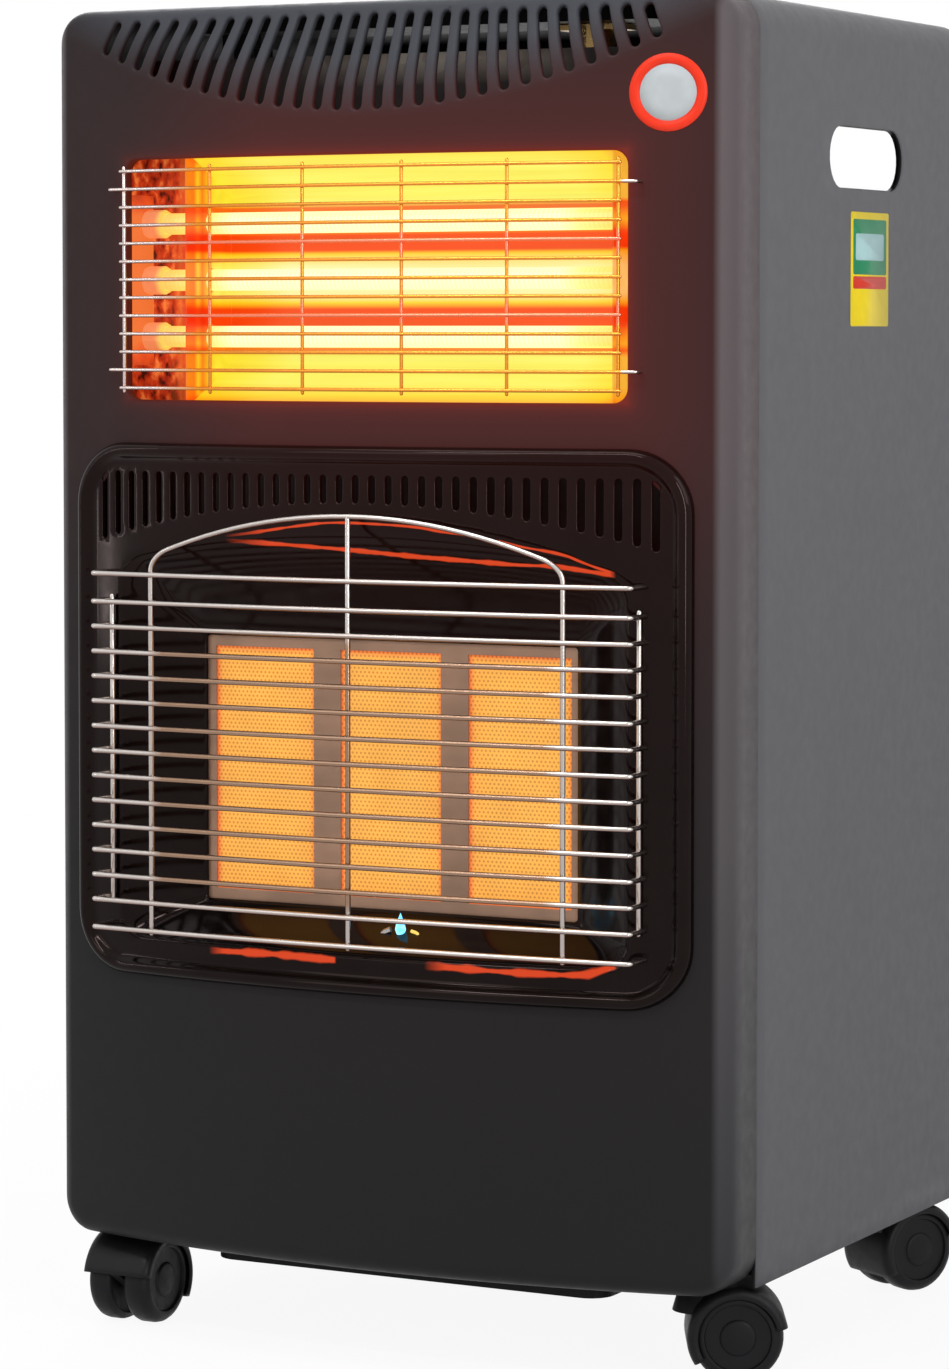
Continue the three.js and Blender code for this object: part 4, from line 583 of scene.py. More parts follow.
class Paint(Nodes):
    """A material around one Principled shader."""

    def __init__(self, name, colour, roughness, metallic=0.0, specular=0.5):
        self.material = bpy.data.materials.new(name)
        self.material.use_nodes = True
        super().__init__(self.material.node_tree)
        self.shader = self.tree.nodes["Principled BSDF"]
        self.set("Base Color", (*colour, 1))
        self.set("Roughness", roughness)
        self.set("Metallic", metallic)
        self.set("Specular IOR Level", specular)
        self.coordinates = self.add("ShaderNodeTexCoord", output="Object")

    def set(self, socket, value):
        self.fill(self.shader, {socket: value})

    def cover(self, colour):
        """Gives the surface a colour that varies, which a later coat can start from."""
        self.base = colour
        self.set("Base Color", colour)

    def axes(self):
        """x, y and z in the drawing frame, in millimetres."""
        x, y, z = (axis / MM for axis in self.split(self.coordinates))
        return x, y - DRAWING_Y, z

    def normal(self):
        return self.split(self.add("ShaderNodeNewGeometry", output="Normal"))

    def noise(self, size, detail=3.0, stretch=None):
        """Noise whose grains are about size millimetres across."""
        where = self.times(self.coordinates, stretch) if stretch else self.coordinates
        return self.add("ShaderNodeTexNoise", where, named={"Scale": 1 / (size * MM), "Detail": detail})

    def vary(self, socket, size, low, high):
        """Lets a number of the shader wander between low and high."""
        self.set(socket, self.noise(size).range(*NOISE_SPREAD, low, high))

    def tint(self, colour, size, depth):
        """Base colour that wanders by the share depth."""
        dark = [c * (1 - depth) for c in colour]
        light = [min(c * (1 + depth), 1) for c in colour]
        self.cover(self.noise(size).ramp((NOISE_SPREAD[0], dark), (NOISE_SPREAD[1], light)))

    def bump(self, height, distance, strength):
        named = {"Strength": strength, "Distance": distance * MM, "Height": height}
        self.set("Normal", self.add("ShaderNodeBump", named=named))

    def shine(self, *colours, strength=1.0):
        """Lets the surface give off the product of the colours."""
        self.set("Emission Color", functools.reduce(self.times, colours))
        self.set("Emission Strength", strength)


def glow(paint, close, wide, colour):
    """Strength of warm light that spills from the window: close and wide are (strength, reach in mm)."""
    x, _, z = paint.axes()
    beside = (abs(x) - WINDOW_HALF_WIDTH).at_least()
    above = (abs(z - WINDOW_Z) - WINDOW_HALF_HEIGHT).at_least()
    distance = hypot(beside, above)
    near, far = (math.e ** (distance / -reach) * strength for strength, reach in (close, wide))
    paint.set("Emission Color", (*colour, 1))
    return (near + far) * x.range(*GLOW_RISE, GLOW_LEFT_SHARE, 1.0)


def powder_coat(name, colour, gloss):
    paint = Paint(name, colour, 0.5, specular=gloss)
    paint.tint(colour, 60, 0.015)
    paint.vary("Roughness", 8, 0.46, 0.56)
    paint.bump(paint.noise(0.9, 2.0), 0.03, 0.2)
    return paint


def charcoal_coat():
    """The front's paint, with painted light: greyer on the louvre's slope and on the returns to the sides,
    lighter towards the top.
    """
    paint = powder_coat("charcoal_powder_coat", (0.0115, 0.0108, 0.0115), 0.12)
    x, _, z = paint.axes()
    # painted light on the louvre's slope
    slope_painted_light = (0.042, 0.044, 0.052)
    from_fan = hypot(x, FAN_CENTRE - z)
    slope = from_fan.range(FAN_RADIUS + FAN_HALF_SLOT, FAN_RADIUS - FAN_SLOPE_WIDTH)
    with_slope_light = paint.mix(slope, paint.base, slope_painted_light)
    # painted light on the returns to the sides, lighter towards the top
    low, middle, high = (0.026, 0.026, 0.028), (0.07, 0.064, 0.067), (0.092, 0.082, 0.087)
    edge = (z / HEIGHT).ramp((0.08, low), (0.4, middle), (0.9, high))
    returns = abs(x).range(HALF_WIDTH - 9.5, HALF_WIDTH - 5.5)
    paint.cover(paint.mix(returns, with_slope_light, edge))
    kept = 1.0 - (returns * 0.6).at_least(slope)
    paint.set("Emission Strength", glow(paint, (0.12, 3), (0.06, 85), (1.0, 0.05, 0.01)) * kept)
    return paint.material


def grey_coat():
    """The body's paint, with painted light making it a little lighter towards the top, and painted shade
    making it dark inside.
    """
    paint = powder_coat("grey_powder_coat", (0.104, 0.104, 0.112), 0.15)
    x, y, z = paint.axes()
    # painted shade: dark inside the shell
    inside_painted_shade = (0.008, 0.008, 0.009)
    # painted light: lighter towards the top
    shade = (z / HEIGHT).ramp((0.1, (0.8, 0.79, 0.8)), (0.9, (1.07, 1.05, 1.04)))
    beside = abs(x) - (HALF_WIDTH - CORNER)
    above = z - (HEIGHT - CORNER)
    from_middle = hypot(beside.at_least(), above.at_least()) + beside.at_least(above).at_most()
    around = from_middle.range(CORNER - 1.0, CORNER - 0.6)
    behind = y.range(REAR - 0.9, REAR - 0.4)
    paint.cover(paint.mix(around.at_least(behind), inside_painted_shade, paint.times(paint.base, shade)))
    return paint.material


def curve_light(paint, half, places):
    """A painted reflection: a bright line through places, pairs of x and z, that fades out at its ends."""
    x, _, z = paint.axes()
    xs, zs = zip(*places)
    lowest = min(zs)
    span = max(zs) - lowest + 1
    along = x.range(xs[0], xs[-1])
    stops = [((at - xs[0]) / (xs[-1] - xs[0]), ((height - lowest) / span,) * 3) for at, height in places]
    heights = along.ramp(*stops)
    heights.socket.node.color_ramp.interpolation = "CARDINAL"
    away = abs(z - (heights * span + lowest))
    wavering = paint.noise(14, 2.0, (1, 1, 0.1)) * (2 * half)
    line = away.range(wavering, wavering * 0.55)
    return line * (along.range(0.0, 0.12) * along.range(1.0, 0.985))


def under_crown(*places):
    """Places along the recess's crown, from pairs of x and how far below it they lie."""
    return [(x, RECESS_TOP + crown_rise(x) - below) for x, below in places]


def enamel():
    """Glossy enamel with painted reflections of the plaques as red streaks in the rolled edges of its
    recess.
    """
    black = (0.0035, 0.0022, 0.0022)
    paint = Paint("gloss_black_enamel", black, 0.12, specular=0.13)
    paint.set("Specular Tint", (1.0, 0.74, 0.7, 1))
    paint.tint(black, 40, 0.3)
    paint.vary("Roughness", 12, 0.07, 0.13)
    paint.bump(paint.noise(5.0, 2.0), 0.02, 0.2)
    # painted reflections of the plaques: glowing streaks along the recess's rolled edge, its fold and its
    # lower lip
    edge = under_crown((-85, 3.5), (-30, 2.5), (10, 2), (50, 2.5), (90, 3), (125, 2), (150, 3.5))
    fold = under_crown((-85, 6), (10, 18), (82, 15.5), (120, 9), (150, 4.5))
    lines = [
        curve_light(paint, 0.9, edge),
        curve_light(paint, 1.5, fold),
        curve_light(paint, 2.2, [(-96, 225), (-55, 226), (-12, 225.5)]),
        curve_light(paint, 2.2, [(42, 226), (100, 225), (136, 226), (151, 231)]),
    ]
    streaks = functools.reduce(Field.at_least, lines)
    spill = glow(paint, (0.02, 6), (0.014, 60), (1.0, 0.085, 0.018))
    paint.set("Emission Strength", spill + streaks * 0.7)
    return paint.material


def chrome(name, lit, shaded):
    """Plated wire, with painted shade making it duller and warmer on its lower side."""
    paint = Paint(name, lit, 0.25, 1.0)
    _, _, upward = paint.normal()
    paint.cover(paint.mix(upward.range(-0.75, 0.1), shaded, lit))
    paint.vary("Roughness", 12, 0.2, 0.28)
    paint.bump(paint.noise(8, 1.0), 0.01, 0.1)
    return paint


def guard_wire():
    """The lower guard's wires, with painted shade tinted warm by the glow where the plaques glow behind
    them.
    """
    paint = chrome("chrome_wire", (0.55, 0.5, 0.47), (0.2, 0.11, 0.09))
    x, _, z = paint.axes()
    # painted shade, tinted warm by the glow, on the wires in front of the plaques
    over_glow = abs(x).range(128, 118) * abs(z - (BURNER_Z + 4)).range(78, 70)
    paint.cover(paint.mix(over_glow, paint.base, (0.3, 0.19, 0.13)))
    return paint.material


def window_wire():
    """The window's wires: plain plating on the left, and elsewhere painted red and amber as light from the
    glow behind them.
    """
    paint = chrome("window_wire", (0.7, 0.6, 0.57), (0.25, 0.15, 0.12))
    x, _, z = paint.axes()
    red, amber = (0.85, 0.22, 0.13), (0.72, 0.27, 0.04)
    # painted light: red and amber bands from the glow behind the wires
    from_band = abs(abs(z - WINDOW_Z) - RED_BAND_Z)
    over_glow = x.range(-130, -100) * x.range(157, 155)
    paint.cover(paint.mix(over_glow, paint.base, paint.mix(from_band.range(5, 8), red, amber)))
    return paint.material


def metal(name, colour, roughness):
    paint = Paint(name, colour, roughness, 1.0)
    paint.tint(colour, 14, 0.12)
    paint.vary("Roughness", 2.5, roughness * 0.8, roughness * 1.25)
    paint.bump(paint.noise(1.2, 2.0), 0.03, 0.3)
    return paint.material


def plastic(name, colour, roughness, grain=0.5):
    paint = Paint(name, colour, roughness, specular=0.16)
    paint.tint(colour, 20, 0.08)
    paint.vary("Roughness", 4, roughness * 0.85, roughness * 1.15)
    paint.bump(paint.noise(grain, 2.0), 0.04, 0.4)
    return paint.material


def frame_steel():
    """Sheet steel round the plaques, browned by the heat, with a faint painted red glow."""
    paint = Paint("heat_tinted_steel", (0.24, 0.155, 0.105), 0.45, 0.3)
    paint.cover(paint.noise(30, 2.0).ramp((0.35, (0.26, 0.165, 0.11)), (0.65, (0.34, 0.21, 0.14))))
    paint.vary("Roughness", 6, 0.4, 0.55)
    paint.bump(paint.noise(2, 2.0), 0.02, 0.3)
    # painted glow: a faint red emission as the plaques' light on the frame
    paint.set("Emission Color", (1.0, 0.3, 0.12, 1))
    paint.set("Emission Strength", 0.03)
    return paint.material


def lattice(paint, pitch):
    """Distance to the nearest hole of a triangular pattern, as a share of the pitch."""
    x, _, z = paint.axes()
    row = pitch * math.sqrt(3)
    distances = []
    for share in (0, 0.5):
        beside = (x + share * pitch).folded(pitch / 2)
        distances.append(hypot(beside, (z + share * row).folded(row / 2)))
    return distances[0].at_most(distances[1]) / pitch


def plaque_ceramic():
    """Perforated ceramic that glows evenly, redder at its rim, with a darker spot in each hole."""
    paint = Paint("glowing_plaque", (0.12, 0.06, 0.03), 0.9)
    x, _, z = paint.axes()
    hole = lattice(paint, PLAQUE_HOLE_PITCH)
    across = (x + 10 * PLAQUE_PITCH).folded(PLAQUE_PITCH / 2)
    rim = (PLAQUE_HALF_WIDTH - across).at_most(PLAQUE_HALF_HEIGHT - abs(z - BURNER_Z))
    red, orange, amber, full = (0.8, 0.14, 0.03), (0.88, 0.3, 0.05), (0.93, 0.42, 0.06), (0.95, 0.46, 0.07)
    heat = (rim / PLAQUE_RIM).ramp((0.0, red), (0.12, orange), (0.26, amber), (1.0, full))
    spots = hole.ramp((0.18, (0.62, 0.5, 0.4)), (0.34, PLAIN))
    patchy = paint.noise(22).ramp((0.3, (0.93, 0.9, 0.86)), (0.7, (1.08, 1.05, 1.0)))
    paint.shine(heat, spots, patchy)
    paint.bump(hole, 0.3, 0.5)
    return paint.material


def reflector_metal():
    """Polished trough with the tubes painted on as a glowing reflection: yellow slopes, red bands between
    the tubes, a red end.
    """
    paint = Paint("glowing_reflector", (0.1, 0.06, 0.03), 0.3, 1.0)
    x, y, z = paint.axes()
    yellow, pale, white = (0.96, 0.66, 0.03), (0.9, 0.87, 0.13), (1.0, 0.92, 0.4)
    red, orange = (0.88, 0.055, 0.004), (0.88, 0.15, 0.02)
    lower = [(0, red), (0.045, yellow), (0.09, pale), (0.2, pale), (0.225, orange), (0.25, yellow)]
    middle = [(0.32, red), (0.385, red), (0.41, yellow), (0.44, white), (0.55, white), (0.6, yellow)]
    upper = [(0.615, red), (0.675, red), (0.72, yellow), (0.765, orange), (0.785, orange), (0.8, pale)]
    height = (z - (WINDOW_Z - REFLECTOR_HALF)) / (2 * REFLECTOR_HALF)
    bands = height.ramp(*lower, *middle, *upper, (0.93, pale), (1, yellow))
    streak = paint.noise(9, 2.0, (0.06, 1, 1)).ramp((0.3, (0.93, 0.9, 0.8)), (0.7, (1.04, 1.04, 1.2)))
    deep = (y - REFLECTOR_FRONT) / REFLECTOR_DEPTH
    rims = [(0, (0.95, 0.25, 0.15)), (0.16, (1, 0.2, 0.2)), (0.24, (1, 0.7, 0.4))]
    folds = [(0.34, (0.95, 0.22, 0.2)), (0.5, (1, 0.75, 0.5)), (0.62, PLAIN)]
    wall = paint.mix(x.range(-115.5, -116.5), PLAIN, deep.ramp(*rims, *folds))
    left = ((x + 118) / 40).ramp((0, (1, 0.85, 0.25)), (0.5, (1, 0.92, 0.5)), (1, PLAIN))
    right = ((145 - x) / 40).ramp((0, (0.92, 0.5, 0.3)), (0.25, (1, 0.85, 0.3)), (1, PLAIN))
    # the painted reflection shows on faces turned to the front and to the sides
    sideways, forward, _ = paint.normal()
    facing = forward.range(-0.02, -0.08).at_least(abs(sideways).range(0.6, 0.7))
    paint.shine(bands, streak, wall, left, right, strength=facing)
    paint.bump(paint.noise(3, 2.0, (0.1, 1, 1)), 0.05, 0.4)
    return paint.material


def quartz():
    """Satin quartz with the heating coil shining through it."""
    paint = Paint("glowing_quartz", (0.2, 0.18, 0.12), 0.25)
    x, _, _ = paint.axes()
    coil = (x.folded(COIL_PITCH) / COIL_PITCH).ramp((0, (1.0, 0.9, 0.42)), (1, (1.0, 0.97, 0.62)))
    orange, amber, yellow = (1.0, 0.5, 0.15), (1.0, 0.75, 0.25), (1, 0.9, 0.5)
    from_end = (TUBE_END - abs(x)) / 50
    paint.shine(coil, from_end.ramp((0, orange), (0.4, amber), (0.75, yellow), (1, PLAIN)))
    return paint.material


def bracket_painted_glow():
    """The plates beside the tubes, with painted glow: orange near the tubes, fading through red to dark
    towards the corners.
    """
    paint = Paint("bracket_steel_painted_glow", (0.1, 0.06, 0.05), 0.5, 0.6)
    _, _, z = paint.axes()
    # painted glow, orange near the tubes and dark towards the corners
    corner = abs(z - WINDOW_Z) + paint.noise(9, 4.0) * 12
    orange, red, dark = (0.8, 0.16, 0.03), (0.75, 0.07, 0.01), (0.2, 0.01, 0.003)
    paint.shine((corner / 60).ramp((0.68, orange), (0.82, red), (1.0, dark)))
    paint.bump(paint.noise(2.0, 2.0), 0.05, 0.4)
    return paint.material


def scorched_steel_painted_glow():
    """Sheet behind the brackets, scorched, with painted glow: red with dark flakes, orange next to the
    tubes.
    """
    paint = Paint("scorched_steel_painted_glow", (0.06, 0.03, 0.025), 0.4, 0.7)
    x, _, z = paint.axes()
    dark, brown = (0.05, 0.005, 0.002), (0.35, 0.018, 0.004)
    red, orange = (0.62, 0.045, 0.008), (0.95, 0.2, 0.04)
    flakes = paint.noise(5, 3.0, (1, 1, 0.6)).ramp((0.36, dark), (0.43, brown), (0.55, red), (0.68, orange))
    stripes = paint.noise(4, 1.0, (1, 1, 0.03)).ramp((0.4, (0.8, 0.05, 0.008)), (0.6, (0.9, 0.15, 0.02)))
    # painted glow, strongest level with the tubes
    strength = abs(z - WINDOW_Z).range(75, 45, 0.55, 1.0)
    paint.shine(paint.mix(x.range(-150, -136), flakes, stripes), strength=strength)
    paint.bump(paint.noise(4.0, 3.0), 0.3, 0.5)
    return paint.material


def ceramic_painted_glow():
    """White ceramic end pieces with painted glow: orange outwards and bright yellow at the tubes."""
    paint = Paint("ceramic_painted_glow", (0.3, 0.22, 0.16), 0.7)
    paint.tint((0.3, 0.2, 0.14), 4, 0.15)
    paint.bump(paint.noise(1.0, 2.0), 0.05, 0.4)
    x, _, _ = paint.axes()
    outward = abs(x).range(TUBE_END - 5, TUBE_END)
    # painted glow, yellow at the tubes and orange outwards
    paint.shine(paint.mix(outward, (1.0, 0.72, 0.1), (0.85, 0.22, 0.07)), strength=0.85)
    return paint.material


def shield_steel():
    """Galvanised sheet with painted shade: dark behind the louvre, apart from a strip of painted light
    where the glow lights it.
    """
    paint = Paint("galvanised_shield", (0.3, 0.28, 0.24), 0.4, 0.2)
    cells = paint.add("ShaderNodeTexVoronoi", paint.coordinates, named={"Scale": 90}, output="Color")
    spangle = paint.add("ShaderNodeSeparateColor", cells)
    bright = spangle.ramp((0.0, (0.42, 0.37, 0.3)), (1.0, (0.6, 0.55, 0.47)))
    x, _, z = paint.axes()
    # painted light on a strip under the lip, and painted shade everywhere else
    strip = z.range(SHIELD_LIP - 19.5, SHIELD_LIP - 6.5) * z.range(SHIELD_LIP, SHIELD_LIP - 1)
    lit = strip * abs(x - 8).range(95, 35)
    paint.cover(paint.mix(lit, (0.022, 0.012, 0.011), bright))
    paint.vary("Roughness", 12, 0.3, 0.5)
    paint.bump(paint.noise(30, 2.0), 0.1, 0.3)
    return paint.material


def flame():
    paint = Paint("pilot_flame", (0.1, 0.5, 0.9), 0.9)
    paint.shine(paint.noise(4, 2.0).ramp((0.3, (0.05, 0.45, 0.9)), (0.7, (0.35, 0.85, 1.0))), strength=1.6)
    return paint.material


def badge(name, colour):
    paint = Paint(name, colour, 0.35, specular=0.12)
    paint.tint(colour, 8, 0.04)
    paint.bump(paint.noise(2, 2.0), 0.02, 0.3)
    return paint.material


CHARCOAL = charcoal_coat()
GREY = grey_coat()
BLACK_PAINT = powder_coat("black_powder_coat", (0.006, 0.006, 0.0065), 0.12).material
ENAMEL = enamel()
CHROME = guard_wire()
WINDOW_WIRE = window_wire()
BLACK_PLASTIC = plastic("black_plastic", (0.006, 0.006, 0.007), 0.45)
TYRE = plastic("wheel_plastic", (0.004, 0.004, 0.005), 0.5)
RED_PLASTIC = plastic("red_plastic", (0.42, 0.02, 0.015), 0.3, 1.5)
STEEL = metal("zinc_plated_steel", (0.55, 0.54, 0.52), 0.35)
SOOTED_STEEL = metal("sooted_steel", (0.035, 0.022, 0.018), 0.6)
BRASS = metal("turned_brass", (0.6, 0.4, 0.16), 0.3)
ALUMINIUM = metal("drawn_aluminium", (0.7, 0.7, 0.7), 0.35)
CERAMIC = ceramic_painted_glow()
SCORCHED_PAINTED_GLOW = scorched_steel_painted_glow()

# each material with its nodes, by the start or the end of their names
NODE_MATERIALS = [
    (BLACK_PAINT, ("base_tray",)),
    (GREY, ("rear_cover",)),
    (shield_steel(), ("heat_shield",)),
    (frame_steel(), ("plaque_frame",)),
    (SOOTED_STEEL, ("gas_manifold", "burner_box")),
    (BRASS, ("pilot_burner", "gas_valve")),
    (STEEL, ("thermocouple", "valve_spindle", "_plate", "_axle")),
    (CERAMIC, ("spark_electrode", "tube_cap")),
    (reflector_metal(), ("upper_reflector",)),
    (RED_PLASTIC, ("rocker_switch_red",)),
    (BLACK_PLASTIC, ("control_console", "switch_body", "rocker_switch_black", "cable_gland", "_hood")),
    (ALUMINIUM, ("supply_pipe",)),
    (plaque_ceramic(), ("ceramic_plaque",)),
    (quartz(), ("quartz_tube",)),
    (bracket_painted_glow(), ("tube_bracket",)),
    (TYRE, ("_wheel_a", "_wheel_b")),
]


def node_material(name):
    for material, parts in NODE_MATERIALS:
        if name.startswith(parts) or name.endswith(parts):
            return material
    return CHARCOAL


BEVELS = {
    "base_tray": 1.0,
    "rear_cover": 0.5,
    "control_console": 0.6,
    "rocker_switch_red": 0.7,
    "rocker_switch_black": 0.7,
    "cable_gland": 0.6,
    "gas_valve": 0.5,
}


def dress_nodes():
    """Gives every CAD node its material, and rounds the edges of those that show."""
    for name, node in frame["nodes"].items():
        node.data.materials.clear()
        node.data.materials.append(node_material(name))
        weld = node.modifiers.new("weld", "WELD")
        weld.merge_threshold = 2e-6
        bevel = node.modifiers.new("edges", "BEVEL")
        bevel.width = BEVELS.get(name, 0.25) * MM
        bevel.segments = 2
        bevel.limit_method = "ANGLE"
        bevel.angle_limit = math.radians(38)
        bevel.use_clamp_overlap = True


# ---------------------------------------------------------------- front panel


def fan_segments():
    """The middle line of each louvre slot, from its foot to its head."""
    lines = []
    for i in range(FAN_SLOTS):
        angle = (i - (FAN_SLOTS - 1) / 2) * FAN_PITCH
        foot = FAN_RADIUS - FAN_HALF_SLOT
        head = (FAN_CENTRE - HEIGHT + FAN_TOP + FAN_HALF_SLOT) / math.cos(angle)
        lines.append([(r * math.sin(angle), FAN_CENTRE - r * math.cos(angle)) for r in (foot, head)])
    return lines


def quarter_turn(steps):
    """Pairs of shares of a bend's radius: how far it still has to go sideways, and how far it went in."""
    angles = [k / steps * math.pi / 2 for k in range(steps + 1)]
    return [(1 - math.sin(angle), 1 - math.cos(angle)) for angle in angles]


def rolled_edge(sheet, surface, outline_at, roll, wall, steps=5):
    """The edge of a hole, rolled inwards and carried on as a wall."""
    loops = [on_surface(surface, outline_at(roll * out), roll * deep) for out, deep in quarter_turn(steps)]
    sheet.rings([*loops, on_surface(surface, outline_at(0), wall)])
    return outline_at(roll)


def rolled_slots(sheet, surface, slots, half, roll, wall, along=14, steps=5):
    return [
        rolled_edge(sheet, surface, lambda grow, s=s: stadium(*s, half + grow, along), roll, wall, steps)
        for s in slots
    ]


def panel_box(shrink):
    top = HEIGHT - shrink * TOP_EDGE / EDGE
    return -HALF_WIDTH + shrink, HALF_WIDTH - shrink, LOWER_EDGE + shrink, top, CORNER - shrink


def panel_outline(shrink):
    return rounded(*panel_box(shrink), along=70, up=90, bend=12)


def window_outline(grow):
    return rounded(*grown(WINDOW, grow), along=50, up=20)


def from_slots(u, v, slots, half):
    """Distance to the nearest of the slots, negative inside it."""
    return np.minimum.reduce([segment_distance(u, v, *slot) - half for slot in slots])


def front_panel():
    sheet = Sheet()
    slots = fan_segments()
    slot_loops = rolled_slots(sheet, panel_y, slots, FAN_HALF_SLOT, FAN_ROLL, FAN_WALL)
    window_loop = rolled_edge(sheet, panel_y, window_outline, WINDOW_ROLL, WINDOW_FLANGE)
    burner_loop = rounded(*BURNER_HOLE, along=40, up=40)

    def inside(u, v):
        outline = -rect_distance(u, v, *panel_box(EDGE))
        window = rect_distance(u, v, *WINDOW) - WINDOW_ROLL
        burner = rect_distance(u, v, *BURNER_HOLE)
        louvre = from_slots(u, v, slots, FAN_HALF_SLOT + FAN_ROLL)
        return np.minimum.reduce([outline, window, burner, louvre])

    left, right, bottom, top, _ = panel_box(EDGE)
    bend = FAN_CENTRE - FAN_RADIUS - 16
    coarse = grid_over(left, right, bottom, bend, 6.0)
    fine = grid_over(left, right, bend, top, 2.2)
    u, v = np.hstack([coarse, fine])
    loops = [panel_outline(EDGE), window_loop, burner_loop, *slot_loops]
    clearance = np.where(v < bend, 2.5, 0.9)
    sheet.patch(loops, u, v, inside, functools.partial(on_surface, panel_y), clearance)
    loops = []
    for out, deep in quarter_turn(8):
        points = on_surface(panel_y, panel_outline(EDGE * out))
        points[:, 1] += EDGE * deep
        loops.append(points)
    seam = loops[-1].copy()
    seam[:, 1] = SEAM
    sheet.rings([*loops, seam])
    outward = (0, -BOW, 120), (0, -1, 0)
    name, nodes = "pressed_front_panel", ["front_panel"]
    mesh_piece(name, sheet, CHARCOAL, nodes, outward=outward, thickness=SHEET)


# ---------------------------------------------------------------- body shell


def hoop_point(s):
    """Point of the shell's profile at a distance s along it, from the lower left edge over the top."""
    s = np.asarray(s, float)
    turn = np.clip(s - HOOP_SIDE, 0, HOOP_TURN) / CORNER
    second_turn = np.clip(s - HOOP_SIDE - HOOP_TURN - HOOP_TOP, 0, HOOP_TURN) / CORNER
    along = np.clip(s - HOOP_SIDE - HOOP_TURN, 0, HOOP_TOP)
    down = np.clip(s - HOOP_SIDE - 2 * HOOP_TURN - HOOP_TOP, 0, HOOP_SIDE)
    x = -HALF_WIDTH + CORNER * (1 - np.cos(turn)) + along + CORNER * np.sin(second_turn)
    up = np.clip(s, 0, HOOP_SIDE) + CORNER * np.sin(turn)
    return x, LOWER_EDGE + up - CORNER * (1 - np.cos(second_turn)) - down


def hoop_lift(flat, depth=0.0):
    """(s, y) on the shell's outer face to (x, y, z), moved inwards by depth."""
    x, z = hoop_point(flat[:, 0])
    step = 0.05
    x1, z1 = hoop_point(flat[:, 0] + step)
    x0, z0 = hoop_point(flat[:, 0] - step)
    tangent = np.stack([x1 - x0, z1 - z0], axis=1)
    tangent /= np.maximum(np.linalg.norm(tangent, axis=1, keepdims=True), 1e-9)
    return np.stack([x + tangent[:, 1] * depth, flat[:, 1], z - tangent[:, 0] * depth], axis=1)


def hoop_stations():
    """Distances along the hoop at which it is divided, close together round the corners."""
    left = [HOOP_SIDE + HOOP_TURN * k / 10 for k in range(11)]
    right = [HOOP_LENGTH - s for s in reversed(left)]
    straights = [(0, HOOP_SIDE, 40), (left[-1], right[0], 24), (right[-1], HOOP_LENGTH, 40)]
    return np.array(sorted({*left, *right, *(s for straight in straights for s in np.linspace(*straight))}))


def body_shell():
    sheet = Sheet()
    hand_s = HAND_Z - LOWER_EDGE
    straight = HAND_HALF_LENGTH - HAND_HALF_HEIGHT
    hands = [[(s, HAND_Y - straight), (s, HAND_Y + straight)] for s in (hand_s, HOOP_LENGTH - hand_s)]
    middle = HOOP_LENGTH / 2
    half_x, half_y = CONSOLE_HOLE
    hole = (middle - half_x, middle + half_x, CONSOLE_Y - half_y, CONSOLE_Y + half_y, CONSOLE_HOLE_CORNER)
    loops = []
    for hand in hands:
        rings = []
        for out, deep in quarter_turn(5):
            outline = stadium(*hand, HAND_HALF_HEIGHT + HAND_ROLL * out, along=16, bend=14)
            rings.append(hoop_lift(outline, HAND_ROLL * deep))
        sheet.rings([*rings, hoop_lift(outline, HAND_LIP + SHEET)])
        loops.append(stadium(*hand, HAND_HALF_HEIGHT + HAND_ROLL, along=16, bend=14))
    loops.append(rounded(*hole, along=30, up=10))
    front, back = SEAM + 1.0, REAR - 1.5
    stations = hoop_stations()

    def row(y):
        return np.stack([stations, np.full_like(stations, y)], axis=1)

    def line(y, depth=0.0):
        """A line over the whole hoop at y."""
        return hoop_lift(row(y), depth)

    def inside(u, v):
        edges = np.minimum(np.minimum(u, HOOP_LENGTH - u), np.minimum(v - front, back - v))
        slots = from_slots(u, v, hands, HAND_HALF_HEIGHT + HAND_ROLL)
        return np.minimum.reduce([edges, slots, rect_distance(u, v, *hole)])

    u, v = np.meshgrid(stations, np.linspace(front, back, 30))
    border = np.vstack([row(front), row(back)[::-1]])
    sheet.patch([border, *loops], u.ravel(), v.ravel(), inside, hoop_lift, 1.2)
    # front edge turned in at the seam, rear edge rolled into the flange
    sheet.rings([line(front), line(front - 0.7, 0.35), line(front - 0.7, 3.0)], closed=False)
    flange = line(REAR, REAR_FLANGE)
    over_top = (stations > HOOP_SIDE) & (stations < HOOP_LENGTH - HOOP_SIDE)
    flange[:, 2] = np.where(over_top, np.minimum(flange[:, 2], HEIGHT - REAR_HEADER), flange[:, 2])
    rolled = [(0, 0.0), (0.9, 0.3), (1.35, 0.9), (1.5, 1.8)]
    sheet.rings([*(line(back + further, depth) for further, depth in rolled), flange], closed=False)
    outward = (HALF_WIDTH, 190, 300), (1, 0, 0)
    name, nodes = "folded_body_shell", ["body_shell"]
    mesh_piece(name, sheet, GREY, nodes, outward=outward, thickness=SHEET)


# ---------------------------------------------------------------- burner surround


def surround_outline(inset):
    return rounded(*grown(SURROUND, -inset), **DENSE)


def rib_segments():
    lines = []
    for i in range(RIB_COUNT):
        x = (i - (RIB_COUNT - 1) / 2) * RIB_PITCH
        foot = RIB_FOOT - (RIB_ARC - math.sqrt(RIB_ARC**2 - x**2)) + RIB_HALF
        lines.append([(x, foot), (x, RIB_TOP - RIB_HALF)])
    return lines


